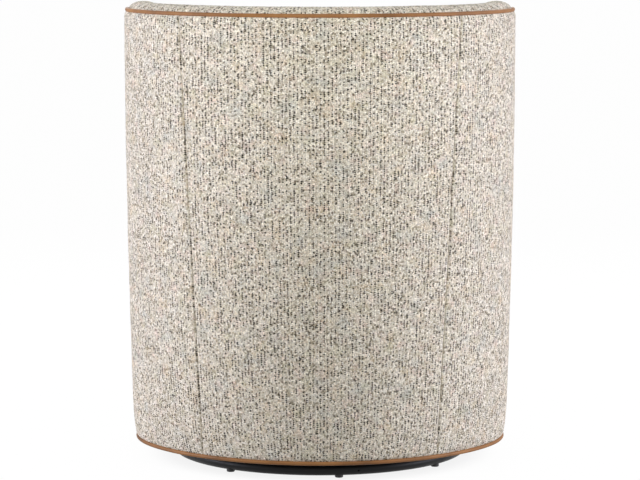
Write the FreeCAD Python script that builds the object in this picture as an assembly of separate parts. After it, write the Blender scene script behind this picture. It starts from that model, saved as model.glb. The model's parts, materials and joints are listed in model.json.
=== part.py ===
import FreeCAD, Part
import math
import os

# Barrel-backed swivel rocker chair. Millimetres. The origin is on the floor on the swivel axis,
# +Z is up, +Y is towards the back and the sitter faces -Y, so +X is the sitter's left.

V = FreeCAD.Vector

# Outer body
body_half_width = 363.0
back_reach = 372.0
widest_height = 835.0
side_lean = 2.2e-5
back_lean = 3.4e-5
tuck_start = 110.0
tuck_depth = 5.0
tuck_height = 73.0
corner_radius = 240.0
corner_centre_y = 45.0
side_radius = 2000.0
hem_z = 44.0
cover_bottom = 48.0

# Crest of the rim band: level round the back, then down the arms
crest_z = 858.0
shoulder_radius = 220.0
shoulder_slope = 48.0
slope_run = 40.0
dip_radius = 260.0
arm_end_slope = 8.0
arm_nose_radius = 50.0

# Limits well outside the chair, for cutting prisms
far_below = -20.0
far_above = 900.0
far_out = 500.0

# Wall layers, measured inwards from the outer skin or down from the crest
cover_thickness = 5.0
rim_outer_inset = 6.0
wall_thickness = 62.0
pad_outer_inset = 31.0
frame_outer_inset = 8.0
frame_inner_inset = 30.0
rim_drop = 20.0
welt_drop = 15.0
inner_edge_drop = 9.0
crown_inset = 34.0
cover_drop = 19.2
pad_drop = 21.0
timber_drop = 22.0
timber_depth = 20.0
lumbar_per_height = 0.055
layer_gap = 0.3

# Seams of the outside back panel
seam_x_top = 253.0
seam_x_bottom = 213.0
seam_z_top = 840.0
seam_z_bottom = 58.0
inside_seam_x = 205.0

# Leather welts
welt_radius = 3.75
welt_inset = 1.7
cushion_welt_radius = 3.5

# Seat
bow_radius = 1515.0
apron_front = 366.0
apron_thickness = 14.0
apron_top = 302.0
seat_board_top = 268.0
deck_bottom = 279.0
deck_top = 303.5
cushion_bottom = 304.0
cushion_clearance = 4.0
cushion_front = 376.0
cushion_welt_bottom = 312.0
cushion_welt_top = 442.0
cushion_crown = 476.0

# Base. The floor is at floor_level in this file's heights, and export lowers every part by it.
floor_level = 3.8
base_turn = 7.4
ring_radius = 268.0
ring_tube = 11.0
ring_wall = 1.6
ring_z = 18.5
glide_count = 8
glide_radius = 7.5
glide_head_top = 11.5
glide_chamfer = 1.0
stem_bottom = 6.5
stem_top = 13.5
drain_hole_radius = 1.7
drain_hole_angle = 7.2
bar_width = 32.0
bar_bottom = 10.5
bar_top = 28.5
bar_wall = 2.0
hub_radius = 92.0
hub_thickness = 4.0
hub_bolt_circle = 82.0
stem_radius = 4.0

# Bolts
bolt_radius = 4.0
bolt_hole_radius = 4.2
bolt_flats = 13.0

# Ball bearing and king bolt
ball_circle = 60.0
ball_radius = 4.0
groove_radius = 4.05
ball_count = 20
race_inner = 50.0
race_outer = 70.0
king_radius = 8.0

# Rocker mechanism
plate_z = 48.5
plate_thickness = 4.0
plate_half_x = 118.0
plate_half_y = 102.0
pivot_z = 104.0
pivot_radius = 7.0
lower_bracket_x = 93.0
upper_bracket_x = 98.5
bracket_thickness = 4.0
top_plate_z = 148.0
top_plate_half_x = 152.0
top_plate_half_y = 106.0
spring_x = 58.0
spring_y = 72.0
coil_radius = 17.0
coil_wire = 2.5
coil_turns = 7
stop_y = 87.0
stop_x = 106.0
rear_stop_height = 4.8
front_stop_height = 6.5
mount_x = 135.0
mount_y = 88.0

# Seat springs
spring_places = (-160.0, -80.0, 0.0, 80.0, 160.0)

# Timber frame
rail_bottom = 152.0
rail_top = 192.0
rail_half_width = 23.0
rail_front_y = -300.0
rail_end_y = -324.5
rail_joint_y = 60.0
rear_rail_y = 178.0
rear_rail_half = 240.0
rear_rail_thickness = 22.0
rib_thickness = 18.0
bottom_rib_z = 50.0
bottom_rib_inset = 36.0
lower_post_z = 69.6
front_post_top = 590.0
post_inset = 17.0
post_half_depth = 8.0
post_half_width = 21.0
back_posts = (70.0, 205.0)
side_posts = (15.0, -90.0, -190.0)


def rad(degrees):
    return math.radians(degrees)


# Plan outline: three tangent arcs on each side, at a height or for a given half width and reach

def half_width(z):
    tuck = tuck_depth * max(0.0, (tuck_start - z) / tuck_height) ** 2
    return body_half_width - side_lean * (widest_height - z) ** 2 - tuck


def reach(z):
    tuck = tuck_depth * max(0.0, (tuck_start - z) / tuck_height) ** 2
    return back_reach - back_lean * (widest_height - z) ** 2 - tuck


class Outline:
    """Barrel outline of given half width and back reach, drawn in by an inset."""

    def __init__(self, width, back, inset=0.0, corner=corner_radius, side=side_radius):
        span = back - corner_centre_y
        back_radius = (width**2 + span**2 - 2 * width * corner) / (2 * (span - corner))
        self.back_y = back - back_radius
        self.back_r = back_radius - inset
        self.corner_x = width - corner
        self.corner_r = corner - inset
        self.side_x = width - side
        self.side_r = side - inset
        self.join = math.atan2(corner_centre_y - self.back_y, self.corner_x)

    def back_point(self, angle, z):
        return V(self.back_r * math.cos(angle), self.back_y + self.back_r * math.sin(angle), z)

    def corner_point(self, angle, z):
        x = self.corner_x + self.corner_r * math.cos(angle)
        return V(x, corner_centre_y + self.corner_r * math.sin(angle), z)

    def side_point(self, y, z):
        x = self.side_x + math.sqrt(self.side_r**2 - (y - corner_centre_y) ** 2)
        return V(x, y, z)

    def half_path(self, front_y, z):
        """Points of the arcs from the +X front end to the middle of the back."""
        start = self.side_point(front_y, z)
        side_mid = self.side_point((front_y + corner_centre_y) / 2, z)
        widest = self.corner_point(0.0, z)
        corner_mid = self.corner_point(self.join / 2, z)
        joint = self.corner_point(self.join, z)
        back_mid = self.back_point((self.join + math.pi / 2) / 2, z)
        return [start, side_mid, widest, corner_mid, joint, back_mid, self.back_point(math.pi / 2, z)]

    def edges(self, front_y, z):
        """Arcs all the way round from the +X front end to the -X front end."""
        points = self.half_path(front_y, z)
        points += [V(-p.x, p.y, p.z) for p in reversed(points[:-1])]
        return [arc(*points[i:i + 3]) for i in range(0, len(points) - 2, 2)]


def outer_outline(z, inset=0.0):
    return Outline(half_width(z), reach(z), inset)


def inner_outline(z, inset=0.0):
    lumbar = lumbar_per_height * (widest_height - z)
    return Outline(
        half_width(z) - wall_thickness,
        reach(z) - wall_thickness - lumbar,
        inset,
        corner_radius - wall_thickness,
        side_radius - wall_thickness,
    )


# Small builders

def arc(start, middle, end):
    return Part.Arc(start, middle, end).toShape()


def line(start, end):
    return Part.LineSegment(start, end).toShape()


def polygon_solid(points, vector):
    wire = Part.makePolygon(points + [points[0]])
    return Part.Face(wire).extrude(vector)


def box(x0, x1, y0, y1, z0, z1):
    return Part.makeBox(x1 - x0, y1 - y0, z1 - z0, V(x0, y0, z0))


def cylinder(radius, z0, z1, x=0.0, y=0.0):
    return Part.makeCylinder(radius, z1 - z0, V(x, y, z0))


def x_cylinder(radius, x0, x1, y, z):
    return Part.makeCylinder(radius, x1 - x0, V(x0, y, z), V(1, 0, 0))


def tube(outer, inner, z0, z1, x=0.0, y=0.0):
    return cylinder(outer, z0, z1, x, y).cut(cylinder(inner, z0 - 1, z1 + 1, x, y))


def x_tube(outer, inner, x0, x1, y, z):
    return x_cylinder(outer, x0, x1, y, z).cut(x_cylinder(inner, x0 - 1, x1 + 1, y, z))


def hexagon(across_flats, z0, z1, x=0.0, y=0.0):
    corner = across_flats / math.sqrt(3)
    points = [V(x + corner * math.cos(rad(60 * i)), y + corner * math.sin(rad(60 * i)), z0) for i in range(6)]
    return polygon_solid(points, V(0, 0, z1 - z0))


def mirrored(shape):
    return shape.mirror(V(0, 0, 0), V(1, 0, 0))


def turned(shape, degrees):
    copy = shape.copy()
    copy.rotate(V(0, 0, 0), V(0, 0, 1), degrees)
    return copy


def moved(shape, x=0.0, y=0.0, z=0.0):
    copy = shape.copy()
    copy.translate(V(x, y, z))
    return copy


def four_corners(shape):
    """The shape and its mirror images in the XZ and YZ planes."""
    front = shape.mirror(V(0, 0, 0), V(0, 1, 0))
    return Part.makeCompound([shape, mirrored(shape), front, mirrored(front)])


# Crest profile of the arms, in the YZ plane

def slope_normal(slope):
    return V(0, -math.sin(rad(slope)), math.cos(rad(slope)))


def slope_tangent(slope):
    return V(0, -math.cos(rad(slope)), -math.sin(rad(slope)))


shoulder_centre = V(0, corner_centre_y, crest_z - shoulder_radius)
slope_start = shoulder_centre + slope_normal(shoulder_slope) * shoulder_radius
slope_end = slope_start + slope_tangent(shoulder_slope) * slope_run
dip_centre = slope_end + slope_normal(shoulder_slope) * dip_radius
dip_end = dip_centre - slope_normal(arm_end_slope) * dip_radius
nose_centre = dip_end - slope_normal(arm_end_slope) * arm_nose_radius
arm_front_y = nose_centre.y - arm_nose_radius


def shoulder_point(slope, drop=0.0):
    return shoulder_centre + slope_normal(slope) * (shoulder_radius - drop)


def dip_point(slope, drop=0.0):
    return dip_centre - slope_normal(slope) * (dip_radius + drop)


def nose_point(slope, drop=0.0):
    return nose_centre + slope_normal(slope) * (arm_nose_radius - drop)


def crest_edges(drop, bottom_z, back_y):
    """Edges of the crest line lowered by drop, from the back to the foot of the arm front."""
    mid_shoulder = shoulder_slope / 2
    mid_dip = (shoulder_slope + arm_end_slope) / 2
    mid_nose = (arm_end_slope + 90) / 2
    return [
        line(V(0, back_y, crest_z - drop), shoulder_point(0, drop)),
        arc(shoulder_point(0, drop), shoulder_point(mid_shoulder, drop), shoulder_point(shoulder_slope, drop)),
        line(shoulder_point(shoulder_slope, drop), dip_point(shoulder_slope, drop)),
        arc(dip_point(shoulder_slope, drop), dip_point(mid_dip, drop), dip_point(arm_end_slope, drop)),
        arc(nose_point(arm_end_slope, drop), nose_point(mid_nose, drop), nose_point(90, drop)),
        line(nose_point(90, drop), V(0, arm_front_y + drop, bottom_z)),
    ]


def under_crest(drop):
    """Everything lower than the crest by at least drop, as a wide prism."""
    edges = crest_edges(drop, far_below, far_out)
    edges.append(line(V(0, arm_front_y + drop, far_below), V(0, far_out, far_below)))
    edges.append(line(V(0, far_out, far_below), V(0, far_out, crest_z - drop)))
    face = Part.Face(Part.Wire(edges))
    return moved(face.extrude(V(2 * far_out, 0, 0)), -far_out)


# Walls that follow the barrel

def wall_section(outer, inner, front_y, z):
    edges = outer.edges(front_y, z)
    back = inner.edges(front_y, z)
    inner_start = inner.side_point(front_y, z)
    outer_start = outer.side_point(front_y, z)
    edges.append(line(V(-outer_start.x, front_y, z), V(-inner_start.x, front_y, z)))
    edges += list(reversed(back))
    edges.append(line(inner_start, outer_start))
    return Part.Wire(Part.__sortEdges__(edges))


def body_wall(outer_inset, inner_inset, heights, front_y):
    sections = [
        wall_section(outer_outline(z, outer_inset), outer_outline(z, inner_inset), front_y, z) for z in heights
    ]
    return Part.makeLoft(sections, True, False)


def pad_wall(heights, front_y):
    sections = [wall_section(outer_outline(z, pad_outer_inset), inner_outline(z), front_y, z) for z in heights]
    return Part.makeLoft(sections, True, False)


def seam_x(z):
    run = (z - seam_z_bottom) / (seam_z_top - seam_z_bottom)
    return seam_x_bottom + (seam_x_top - seam_x_bottom) * run


def seam_prism(gap):
    """Everything between the two slanted seams, less a gap at each."""
    low = V(seam_x(far_below) - gap, 0, far_below)
    high = V(seam_x(far_above) - gap, 0, far_above)
    points = [V(-low.x, 0, low.z), low, high, V(-high.x, 0, high.z)]
    return polygon_solid(points, V(0, far_out, 0))


def side_prism(gap):
    """Everything on the +X side of the seam, less a gap."""
    low = V(seam_x(far_below) + gap, -far_out, far_below)
    high = V(seam_x(far_above) + gap, -far_out, far_above)
    points = [low, V(far_out, -far_out, low.z), V(far_out, -far_out, high.z), high]
    return polygon_solid(points, V(0, 2 * far_out, 0))


# Paths of biarcs for tubes that follow a space curve

def biarc(start, start_way, end, end_way):
    """Two arcs that leave start along start_way and reach end along end_way."""
    chord = end - start
    ways = start_way + end_way
    a = 2 * (1 - start_way.dot(end_way))
    b = 2 * chord.dot(ways)
    c = -chord.dot(chord)
    if abs(a) < 1e-12:
        reach_out = -c / b
    else:
        reach_out = (-b + math.sqrt(b * b - 4 * a * c)) / (2 * a)
    middle = (start + start_way * reach_out + end - end_way * reach_out) * 0.5
    return [tangent_arc(start, start_way, middle), tangent_arc(end, end_way * -1, middle)], middle


def tangent_arc(start, way, end):
    """Arc from start, leaving along way, to end."""
    chord = end - start
    across = chord - way * chord.dot(way)
    if across.Length < 1e-7 * chord.Length:
        return line(start, end)
    across.normalize()
    radius = chord.dot(chord) / (2 * chord.dot(across))
    centre = start + across * radius
    to_middle = (start + end) * 0.5 - centre
    if to_middle.Length < 1e-9:
        to_middle = V(way)
    to_middle.normalize()
    return arc(start, centre + to_middle * radius, end)


def smooth_wire(points, ways):
    """One wire of biarcs through the points, along the given directions."""
    edges = []
    for i in range(len(points) - 1):
        (first, second), middle = biarc(points[i], ways[i], points[i + 1], ways[i + 1])
        edges.append(first)
        edges.append(second)
    return Part.Wire(Part.__sortEdges__(edges))


def curve_ways(curve, values, step):
    """Unit directions of a curve at the given parameter values."""
    ways = []
    for value in values:
        way = curve(value + step) - curve(value - step)
        way.normalize()
        ways.append(way)
    return ways


def pipe(wire, start, way, radius):
    circle = Part.Wire(Part.makeCircle(radius, start, way))
    return wire.makePipeShell([circle], True, False)


# Base

def base_ring():
    outer = Part.makeTorus(ring_radius, ring_tube, V(0, 0, ring_z))
    shape = outer.cut(Part.makeTorus(ring_radius, ring_tube - ring_wall, V(0, 0, ring_z)))
    for i in range(glide_count):
        angle = 360.0 / glide_count * i
        shape = shape.cut(turned(cylinder(stem_radius, 0, ring_z, 0, ring_radius), angle))
    drill = Part.makeCylinder(drain_hole_radius, 20.0, V(0, ring_radius, ring_z - 2), V(0, 1, 0))
    for i in range(4):
        shape = shape.cut(turned(drill, drain_hole_angle + 90.0 * i))
    return shape


def glides():
    head = cylinder(glide_radius, floor_level, glide_head_top, 0, ring_radius)
    head = head.cut(Part.makeTorus(ring_radius, ring_tube, V(0, 0, ring_z)))
    head = max(head.Solids, key=lambda s: s.Volume)
    rim = [e for e in head.Edges if e.BoundBox.ZMax < floor_level + 0.01]
    head = head.makeChamfer(glide_chamfer, rim)
    stem = cylinder(stem_radius, stem_bottom, stem_top, 0, ring_radius)
    glide = head.fuse(stem).removeSplitter()
    return Part.makeCompound([turned(glide, 360.0 / glide_count * i) for i in range(glide_count)])


def base_cross_bars():
    half = bar_width / 2
    long_box = box(-half, half, -ring_radius, ring_radius, bar_bottom, bar_top)
    hollow = box(-half + bar_wall, half - bar_wall, -ring_radius - 5, ring_radius + 5, bar_bottom + bar_wall,
                 bar_top - bar_wall)
    cross = long_box.fuse(turned(long_box, 90)).cut(hollow).cut(turned(hollow, 90))
    cross = cross.cut(Part.makeTorus(ring_radius, ring_tube, V(0, 0, ring_z)))
    cross = cross.common(cylinder(ring_radius - 2, 0, 60))
    cross = cross.cut(cylinder(king_radius, 0, 60))
    for i in range(4):
        cross = cross.cut(turned(cylinder(bolt_hole_radius, 0, 60, 0, hub_bolt_circle), 90 * i))
    return cross.removeSplitter()


def hub_plate():
    plate = tube(hub_radius, king_radius, bar_top, bar_top + hub_thickness)
    for i in range(4):
        plate = plate.cut(turned(cylinder(bolt_hole_radius, 0, 60, 0, hub_bolt_circle), 90 * i))
    return plate


def hub_bolts():
    bolt = hexagon(bolt_flats, bar_bottom - 4.5, bar_bottom, 0, hub_bolt_circle)
    bolt = bolt.fuse(cylinder(bolt_radius, bar_bottom - 1, bar_top + hub_thickness + 8, 0, hub_bolt_circle))
    return Part.makeCompound([turned(bolt.removeSplitter(), 90 * i) for i in range(4)])


def hub_nuts():
    low = bar_top + hub_thickness
    nut = hexagon(bolt_flats, low, low + 6.5, 0, hub_bolt_circle)
    nut = nut.cut(cylinder(bolt_radius, 0, 60, 0, hub_bolt_circle))
    return Part.makeCompound([turned(nut, 90 * i) for i in range(4)])


def race_groove():
    return Part.makeTorus(ball_circle, groove_radius, V(0, 0, bar_top + hub_thickness + 8.0))


def lower_race():
    low = bar_top + hub_thickness
    return tube(race_outer, race_inner, low, low + 6.0).cut(race_groove())


def upper_race():
    low = bar_top + hub_thickness + 10.0
    return tube(race_outer, race_inner, low, plate_z).cut(race_groove())


def ball_cage():
    middle = bar_top + hub_thickness + 8.0
    cage = tube(ball_circle + 6.5, ball_circle - 6.5, middle - 1.0, middle + 1.0)
    for i in range(ball_count):
        cage = cage.cut(turned(cylinder(ball_radius, 0, 60, ball_circle, 0), 360.0 / ball_count * i))
    return cage


def bearing_balls():
    middle = bar_top + hub_thickness + 8.0
    ball = Part.makeSphere(ball_radius, V(ball_circle, 0, middle))
    return Part.makeCompound([turned(ball, 360.0 / ball_count * i) for i in range(ball_count)])


def king_bolt():
    head = cylinder(14.0, bar_bottom - 5.5, bar_bottom)
    head = head.makeChamfer(2.0, [e for e in head.Edges if e.BoundBox.ZMax < bar_bottom - 5.4])
    return head.fuse(cylinder(king_radius, bar_bottom - 1, plate_z + 25)).removeSplitter()


def swivel_bushing():
    top = plate_z + plate_thickness
    sleeve = cylinder(12.0, plate_z - 1, top + 1).fuse(cylinder(17.0, top, top + 2))
    return sleeve.removeSplitter().cut(cylinder(king_radius + 0.05, 0, 80))


def king_washer():
    low = plate_z + plate_thickness + 2.2
    return tube(20.0, king_radius, low, low + 2.5)


def king_nut():
    low = plate_z + plate_thickness + 4.7
    return hexagon(24, low, low + 13.0).cut(cylinder(king_radius, 0, 90))


# Rocker mechanism

def swivel_plate():
    top = plate_z + plate_thickness
    plate = box(-plate_half_x, plate_half_x, -plate_half_y, plate_half_y, plate_z, top)
    plate = plate.makeFillet(18.0, [e for e in plate.Edges if e.BoundBox.ZLength > 3.9])
    seat = cylinder(13.0, top - 1, top + 5, spring_x, spring_y)
    plate = plate.fuse(four_corners(seat)).removeSplitter()
    return plate.cut(cylinder(12.0, 0, 80))


def lower_bracket():
    """Bracket on the +X side; its foot is welded to the swivel plate."""
    low = plate_z + plate_thickness
    x0 = lower_bracket_x
    x1 = x0 + bracket_thickness
    points = [V(x0, -46, low), V(x0, 46, low), V(x0, 18, pivot_z), V(x0, -18, pivot_z)]
    web = polygon_solid(points, V(bracket_thickness, 0, 0))
    web = web.fuse(x_cylinder(18.0, x0, x1, 0, pivot_z))
    web = web.fuse(box(x0 - 16, x1, -46, 46, low, low + 3))
    web = web.removeSplitter()
    return web.cut(x_cylinder(pivot_radius, x0 - 20, x1 + 20, 0, pivot_z))


def pivot_shaft():
    shaft = x_cylinder(pivot_radius, -109, 109, 0, pivot_z)
    return shaft.makeChamfer(1.0, [e for e in shaft.Edges if e.BoundBox.XLength < 0.01])


def shaft_clips():
    clip = x_tube(12.0, pivot_radius, 104.5, 106.5, 0, pivot_z)
    return Part.makeCompound([clip, mirrored(clip)])


def rubber_stops():
    low = plate_z + plate_thickness
    rear = Part.makeCone(9.0, 7.5, rear_stop_height, V(stop_x, stop_y, low))
    front = Part.makeCone(9.0, 7.5, front_stop_height, V(stop_x, -stop_y, low))
    return Part.makeCompound([rear, mirrored(rear), front, mirrored(front)])


def upper_bracket():
    """Bracket on the +X side: a web with a pivot eye and two feet over the rubber stops."""
    x0 = upper_bracket_x
    x1 = x0 + bracket_thickness
    leg_out = 98.0
    leg_in = 76.0
    foot_z = 66.0
    shape = box(x0, x1, -leg_out, leg_out, 122, top_plate_z)
    shape = shape.fuse(box(x0, x1, -22, 22, pivot_z, 130))
    shape = shape.fuse(x_cylinder(22.0, x0, x1, 0, pivot_z))
    for side in (-1, 1):
        y0 = min(side * leg_in, side * leg_out)
        y1 = max(side * leg_in, side * leg_out)
        shape = shape.fuse(box(x0, x1, y0, y1, foot_z, 130))
        shape = shape.fuse(box(x0, x1 + 12, y0, y1, foot_z, foot_z + 3))
    shape = shape.removeSplitter()
    return shape.cut(x_cylinder(10.0, x0 - 5, x1 + 5, 0, pivot_z))


def pivot_bushings():
    x0 = upper_bracket_x
    sleeve = x_cylinder(10.0, x0 - 1.2, x0 + bracket_thickness + 1, 0, pivot_z)
    sleeve = sleeve.fuse(x_cylinder(14.0, x0 - 1.2, x0, 0, pivot_z)).removeSplitter()
    sleeve = sleeve.cut(x_cylinder(pivot_radius + 0.05, x0 - 5, x0 + 10, 0, pivot_z))
    return Part.makeCompound([sleeve, mirrored(sleeve)])


def rocker_top_plate():
    top = top_plate_z + plate_thickness
    plate = box(-top_plate_half_x, top_plate_half_x, -top_plate_half_y, top_plate_half_y, top_plate_z, top)
    plate = plate.makeFillet(14.0, [e for e in plate.Edges if e.BoundBox.ZLength > 3.9])
    seat = cylinder(13.0, top_plate_z - 5, top_plate_z + 1, spring_x, spring_y)
    plate = plate.fuse(four_corners(seat)).removeSplitter()
    plate = plate.cut(cylinder(45.0, 100, 200))
    return plate.cut(four_corners(cylinder(bolt_hole_radius, 100, 200, mount_x, mount_y)))


def mounting_bolts():
    bolt = hexagon(bolt_flats, top_plate_z - 5.3, top_plate_z, mount_x, mount_y)
    bolt = bolt.fuse(cylinder(bolt_radius, top_plate_z - 1, rail_top + 8, mount_x, mount_y))
    return four_corners(bolt.removeSplitter())


def mounting_nuts():
    return four_corners(tube(9.0, bolt_radius, rail_top, rail_top + 6, mount_x, mount_y))


def rocker_spring():
    """Compression coil at x = y = 0, with closed end turns."""
    low = plate_z + plate_thickness + coil_wire + 0.1
    high = top_plate_z - coil_wire - 0.1
    end_pitch = 2 * coil_wire + 0.6
    body_pitch = (high - low - 2 * end_pitch) / (coil_turns - 2)
    quarter = math.pi / 2

    def height(angle):
        turn = angle / (2 * math.pi)
        if turn < 1:
            return low + end_pitch * turn
        if turn > coil_turns - 1:
            return high - end_pitch * (coil_turns - turn)
        return low + end_pitch + body_pitch * (turn - 1)

    def point(angle):
        return V(coil_radius * math.cos(angle), coil_radius * math.sin(angle), height(angle))

    angles = [quarter * i for i in range(4 * coil_turns + 1)]
    ways = curve_ways(point, angles, 0.2)
    wire = smooth_wire([point(a) for a in angles], ways)
    spring = pipe(wire, point(0), ways[0], coil_wire)
    samples = [point(2 * math.pi * coil_turns * i / 1400) for i in range(1401)]
    gap = least_gap(samples, 120, 2 * coil_wire)
    print("rocker spring: least gap to itself %.2f mm" % gap)
    return spring


def least_gap(points, skip, diameter):
    """Least distance between points of a centre line more than skip samples apart, less the diameter."""
    nearest = 1e9
    for i in range(0, len(points), 2):
        for j in range(i + skip, len(points), 2):
            nearest = min(nearest, (points[i] - points[j]).Length)
    return nearest - diameter


# Timber frame

def timber_wall():
    return body_wall(frame_outer_inset, frame_inner_inset, [60, 130, 300, 560, 843], arm_front_y)


def rib(z, inner_inset, front_y):
    outer = outer_outline(z, frame_outer_inset)
    inner = outer_outline(z, inner_inset)
    return Part.Face(wall_section(outer, inner, front_y, z)).extrude(V(0, 0, rib_thickness))


def post_plan(x_or_y, on_back, z):
    """Centre and inward direction of a post on the barrel outline at height z."""
    line_of_posts = outer_outline(z, post_inset)
    if on_back:
        angle = math.acos(x_or_y / line_of_posts.back_r)
        return line_of_posts.back_point(angle, z), V(math.cos(angle), math.sin(angle), 0)
    point = line_of_posts.side_point(x_or_y, z)
    way = V(point.x - line_of_posts.side_x, point.y - corner_centre_y, 0)
    way.normalize()
    return point, way


def post(x_or_y, on_back, z0, z1):
    sections = []
    for z in (z0, z1):
        centre, way = post_plan(x_or_y, on_back, z)
        along = V(-way.y, way.x, 0)
        signs = [(1, 1), (1, -1), (-1, -1), (-1, 1)]
        points = [centre + way * (post_half_depth * a) + along * (post_half_width * b) for a, b in signs]
        sections.append(Part.makePolygon(points + [points[0]]))
    return Part.makeLoft(sections, True, True)


def frame_posts(nose_strip):
    places = [(x, True) for x in back_posts] + [(y, False) for y in side_posts]
    ceiling = under_crest(timber_drop + timber_depth + 0.2)
    lower_top = seat_board_top - rib_thickness - layer_gap
    upper_bottom = seat_board_top + layer_gap
    solids = []
    for place, on_back in places:
        solids.append(post(place, on_back, lower_post_z, lower_top))
        solids.append(post(place, on_back, upper_bottom, crest_z).common(ceiling))
    for bottom, top in ((lower_post_z, lower_top), (upper_bottom, front_post_top - layer_gap)):
        solids.append(nose_strip.common(box(0, far_out, -far_out, arm_front_y + 100, bottom, top)))
    return Part.makeCompound(solids + [mirrored(s) for s in solids])


def front_rail():
    """Straight board between the front posts, thickened to a bow between the arm fronts."""
    bow = bow_radius - apron_thickness - 0.3
    centre_y = bow_radius - apron_front
    low = bottom_rib_z
    height = seat_board_top - low
    half = outer_outline(low, wall_thickness).side_point(arm_front_y, low).x - 3
    edge_y = centre_y - math.sqrt(bow**2 - half**2)
    corners = [V(half, rail_front_y, low), V(-half, rail_front_y, low), V(-half, edge_y, low)]
    edges = [line(corners[0], corners[1]), line(corners[1], corners[2])]
    edges.append(arc(corners[2], V(0, centre_y - bow, low), V(half, edge_y, low)))
    edges.append(line(V(half, edge_y, low), corners[0]))
    bowed = Part.Face(Part.Wire(edges)).extrude(V(0, 0, height))
    end = outer_outline(low, pad_outer_inset).side_point(rail_end_y, low).x - 9
    board = box(-end, end, rail_end_y, rail_front_y, low, seat_board_top)
    return board.fuse(bowed).removeSplitter()


def rear_rail(seat_rib):
    back_y = rear_rail_y + rear_rail_thickness
    rail = box(-rear_rail_half, rear_rail_half, rear_rail_y, back_y, rail_bottom, seat_board_top)
    return rail.cut(seat_rib)


def mechanism_rails():
    rail = box(mount_x - rail_half_width, mount_x + rail_half_width, rail_front_y, rear_rail_y, rail_bottom,
               rail_top)
    for y in (mount_y, -mount_y):
        rail = rail.cut(cylinder(bolt_radius, 100, 300, mount_x, y))
    return Part.makeCompound([rail, mirrored(rail)])


def corner_blocks():
    x = mount_x - rail_half_width
    front_y = rail_front_y
    low = rail_bottom + 2
    leg = 48.0
    up = V(0, 0, rail_top - rail_bottom - 4)
    front = polygon_solid([V(x, front_y, low), V(x - leg, front_y, low), V(x, front_y + leg, low)], up)
    rear_y = rear_rail_y
    rear = polygon_solid([V(x, rear_y, low), V(x - leg, rear_y, low), V(x, rear_y - leg, low)], up)
    return Part.makeCompound([front, mirrored(front), rear, mirrored(rear)])


# Seat springs and deck

def seat_springs():
    """Five flat zigzag wires from the front rail to the rear rail."""
    wire_radius = 1.9
    bend = 12.5
    half_bar = 12.0
    start_y = -312.0
    z = seat_board_top + 6.0
    bends = 20
    edges = []
    y = start_y
    side = 1
    for i in range(bends):
        edges.append(line(V(-side * half_bar, y, z), V(side * half_bar, y, z)))
        start = V(side * half_bar, y, z)
        edges.append(arc(start, V(side * (half_bar + bend), y + bend, z), V(side * half_bar, y + 2 * bend, z)))
        y += 2 * bend
        side = -side
    edges.append(line(V(-side * half_bar, y, z), V(side * half_bar, y, z)))
    wire = Part.Wire(edges)
    spring = pipe(wire, V(-half_bar, start_y, z), V(1, 0, 0), wire_radius)
    print("seat spring: length along Y %.1f mm, volume over section times length %.4f"
          % (y - start_y, spring.Volume / (math.pi * wire_radius**2 * wire.Length)))
    return [moved(spring, x) for x in spring_places], start_y, y, z, wire_radius


def spring_clips(start_y, end_y, z, wire_radius):
    low = seat_board_top
    clips = []
    for x in spring_places:
        for y in (start_y, end_y):
            clip = box(x - 9, x + 9, y - 7, y + 7, low, z + 4)
            clips.append(clip.cut(x_cylinder(wire_radius + 0.05, x - 20, x + 20, y, z)))
    return Part.makeCompound(clips)


def half_plan(outline, corner_y, bow_end_x, centre_y, bow, z):
    """Edges from the middle of the front to the middle of the back, on the +X side."""
    side_end = outline.side_point(corner_y, z)
    side_way = V(corner_centre_y - side_end.y, side_end.x - outline.side_x, 0)
    side_way.normalize()
    bow_x = side_end.x - bow_end_x
    bow_end = V(bow_x, centre_y - math.sqrt(bow**2 - bow_x**2), z)
    bow_way = V(centre_y - bow_end.y, bow_x, 0)
    bow_way.normalize()
    middle_x = bow_x / 2
    middle = V(middle_x, centre_y - math.sqrt(bow**2 - middle_x**2), z)
    (first, second), _ = biarc(bow_end, bow_way, side_end, side_way)
    points = outline.half_path(corner_y, z)
    arcs = [arc(*points[i:i + 3]) for i in range(0, len(points) - 2, 2)]
    return [arc(V(0, centre_y - bow, z), middle, bow_end), first, second] + arcs


def closed_plan(*plan):
    half = half_plan(*plan)
    return Part.Wire(Part.__sortEdges__(half + [mirrored(edge) for edge in half]))


def ring_pipe(plan, radius):
    """Closed round tube along a plan, made as two halves that meet at the middle."""
    wire = Part.Wire(Part.__sortEdges__(half_plan(*plan)))
    half = pipe(wire, wire.OrderedVertexes[0].Point, V(1, 0, 0), radius)
    return half.fuse(mirrored(half)).removeSplitter()


def seat_plan(z, inset):
    """Plan of the seat cushion: barrel back and sides, rounded front corners, bowed front."""
    outline = inner_outline(cushion_bottom, cushion_clearance + inset)
    return outline, -318.0 + 0.5 * inset, 30.0, bow_radius - cushion_front, bow_radius - inset, z


def seat_cushion():
    """Boxed cushion: sides drawn in between the welts and a crowned top."""
    boxing = [(cushion_bottom, 6.0), (cushion_welt_bottom, 0.0), (345.0, 3.0), (377.0, 4.0), (409.0, 3.0),
              (cushion_welt_top, 0.0)]
    crown = [(cushion_welt_top, 0.0), (452.0, 10.0), (462.0, 34.0), (470.0, 72.0), (474.5, 112.0),
             (cushion_crown, 150.0)]
    lower = Part.makeLoft([closed_plan(*seat_plan(z, inset)) for z, inset in boxing], True, False)
    upper = Part.makeLoft([closed_plan(*seat_plan(z, inset)) for z, inset in crown], True, False)
    return lower.fuse(upper)


def cushion_welts():
    heights = (cushion_welt_bottom, cushion_welt_top)
    return Part.makeCompound([ring_pipe(seat_plan(z, 0.5), cushion_welt_radius) for z in heights])


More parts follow.
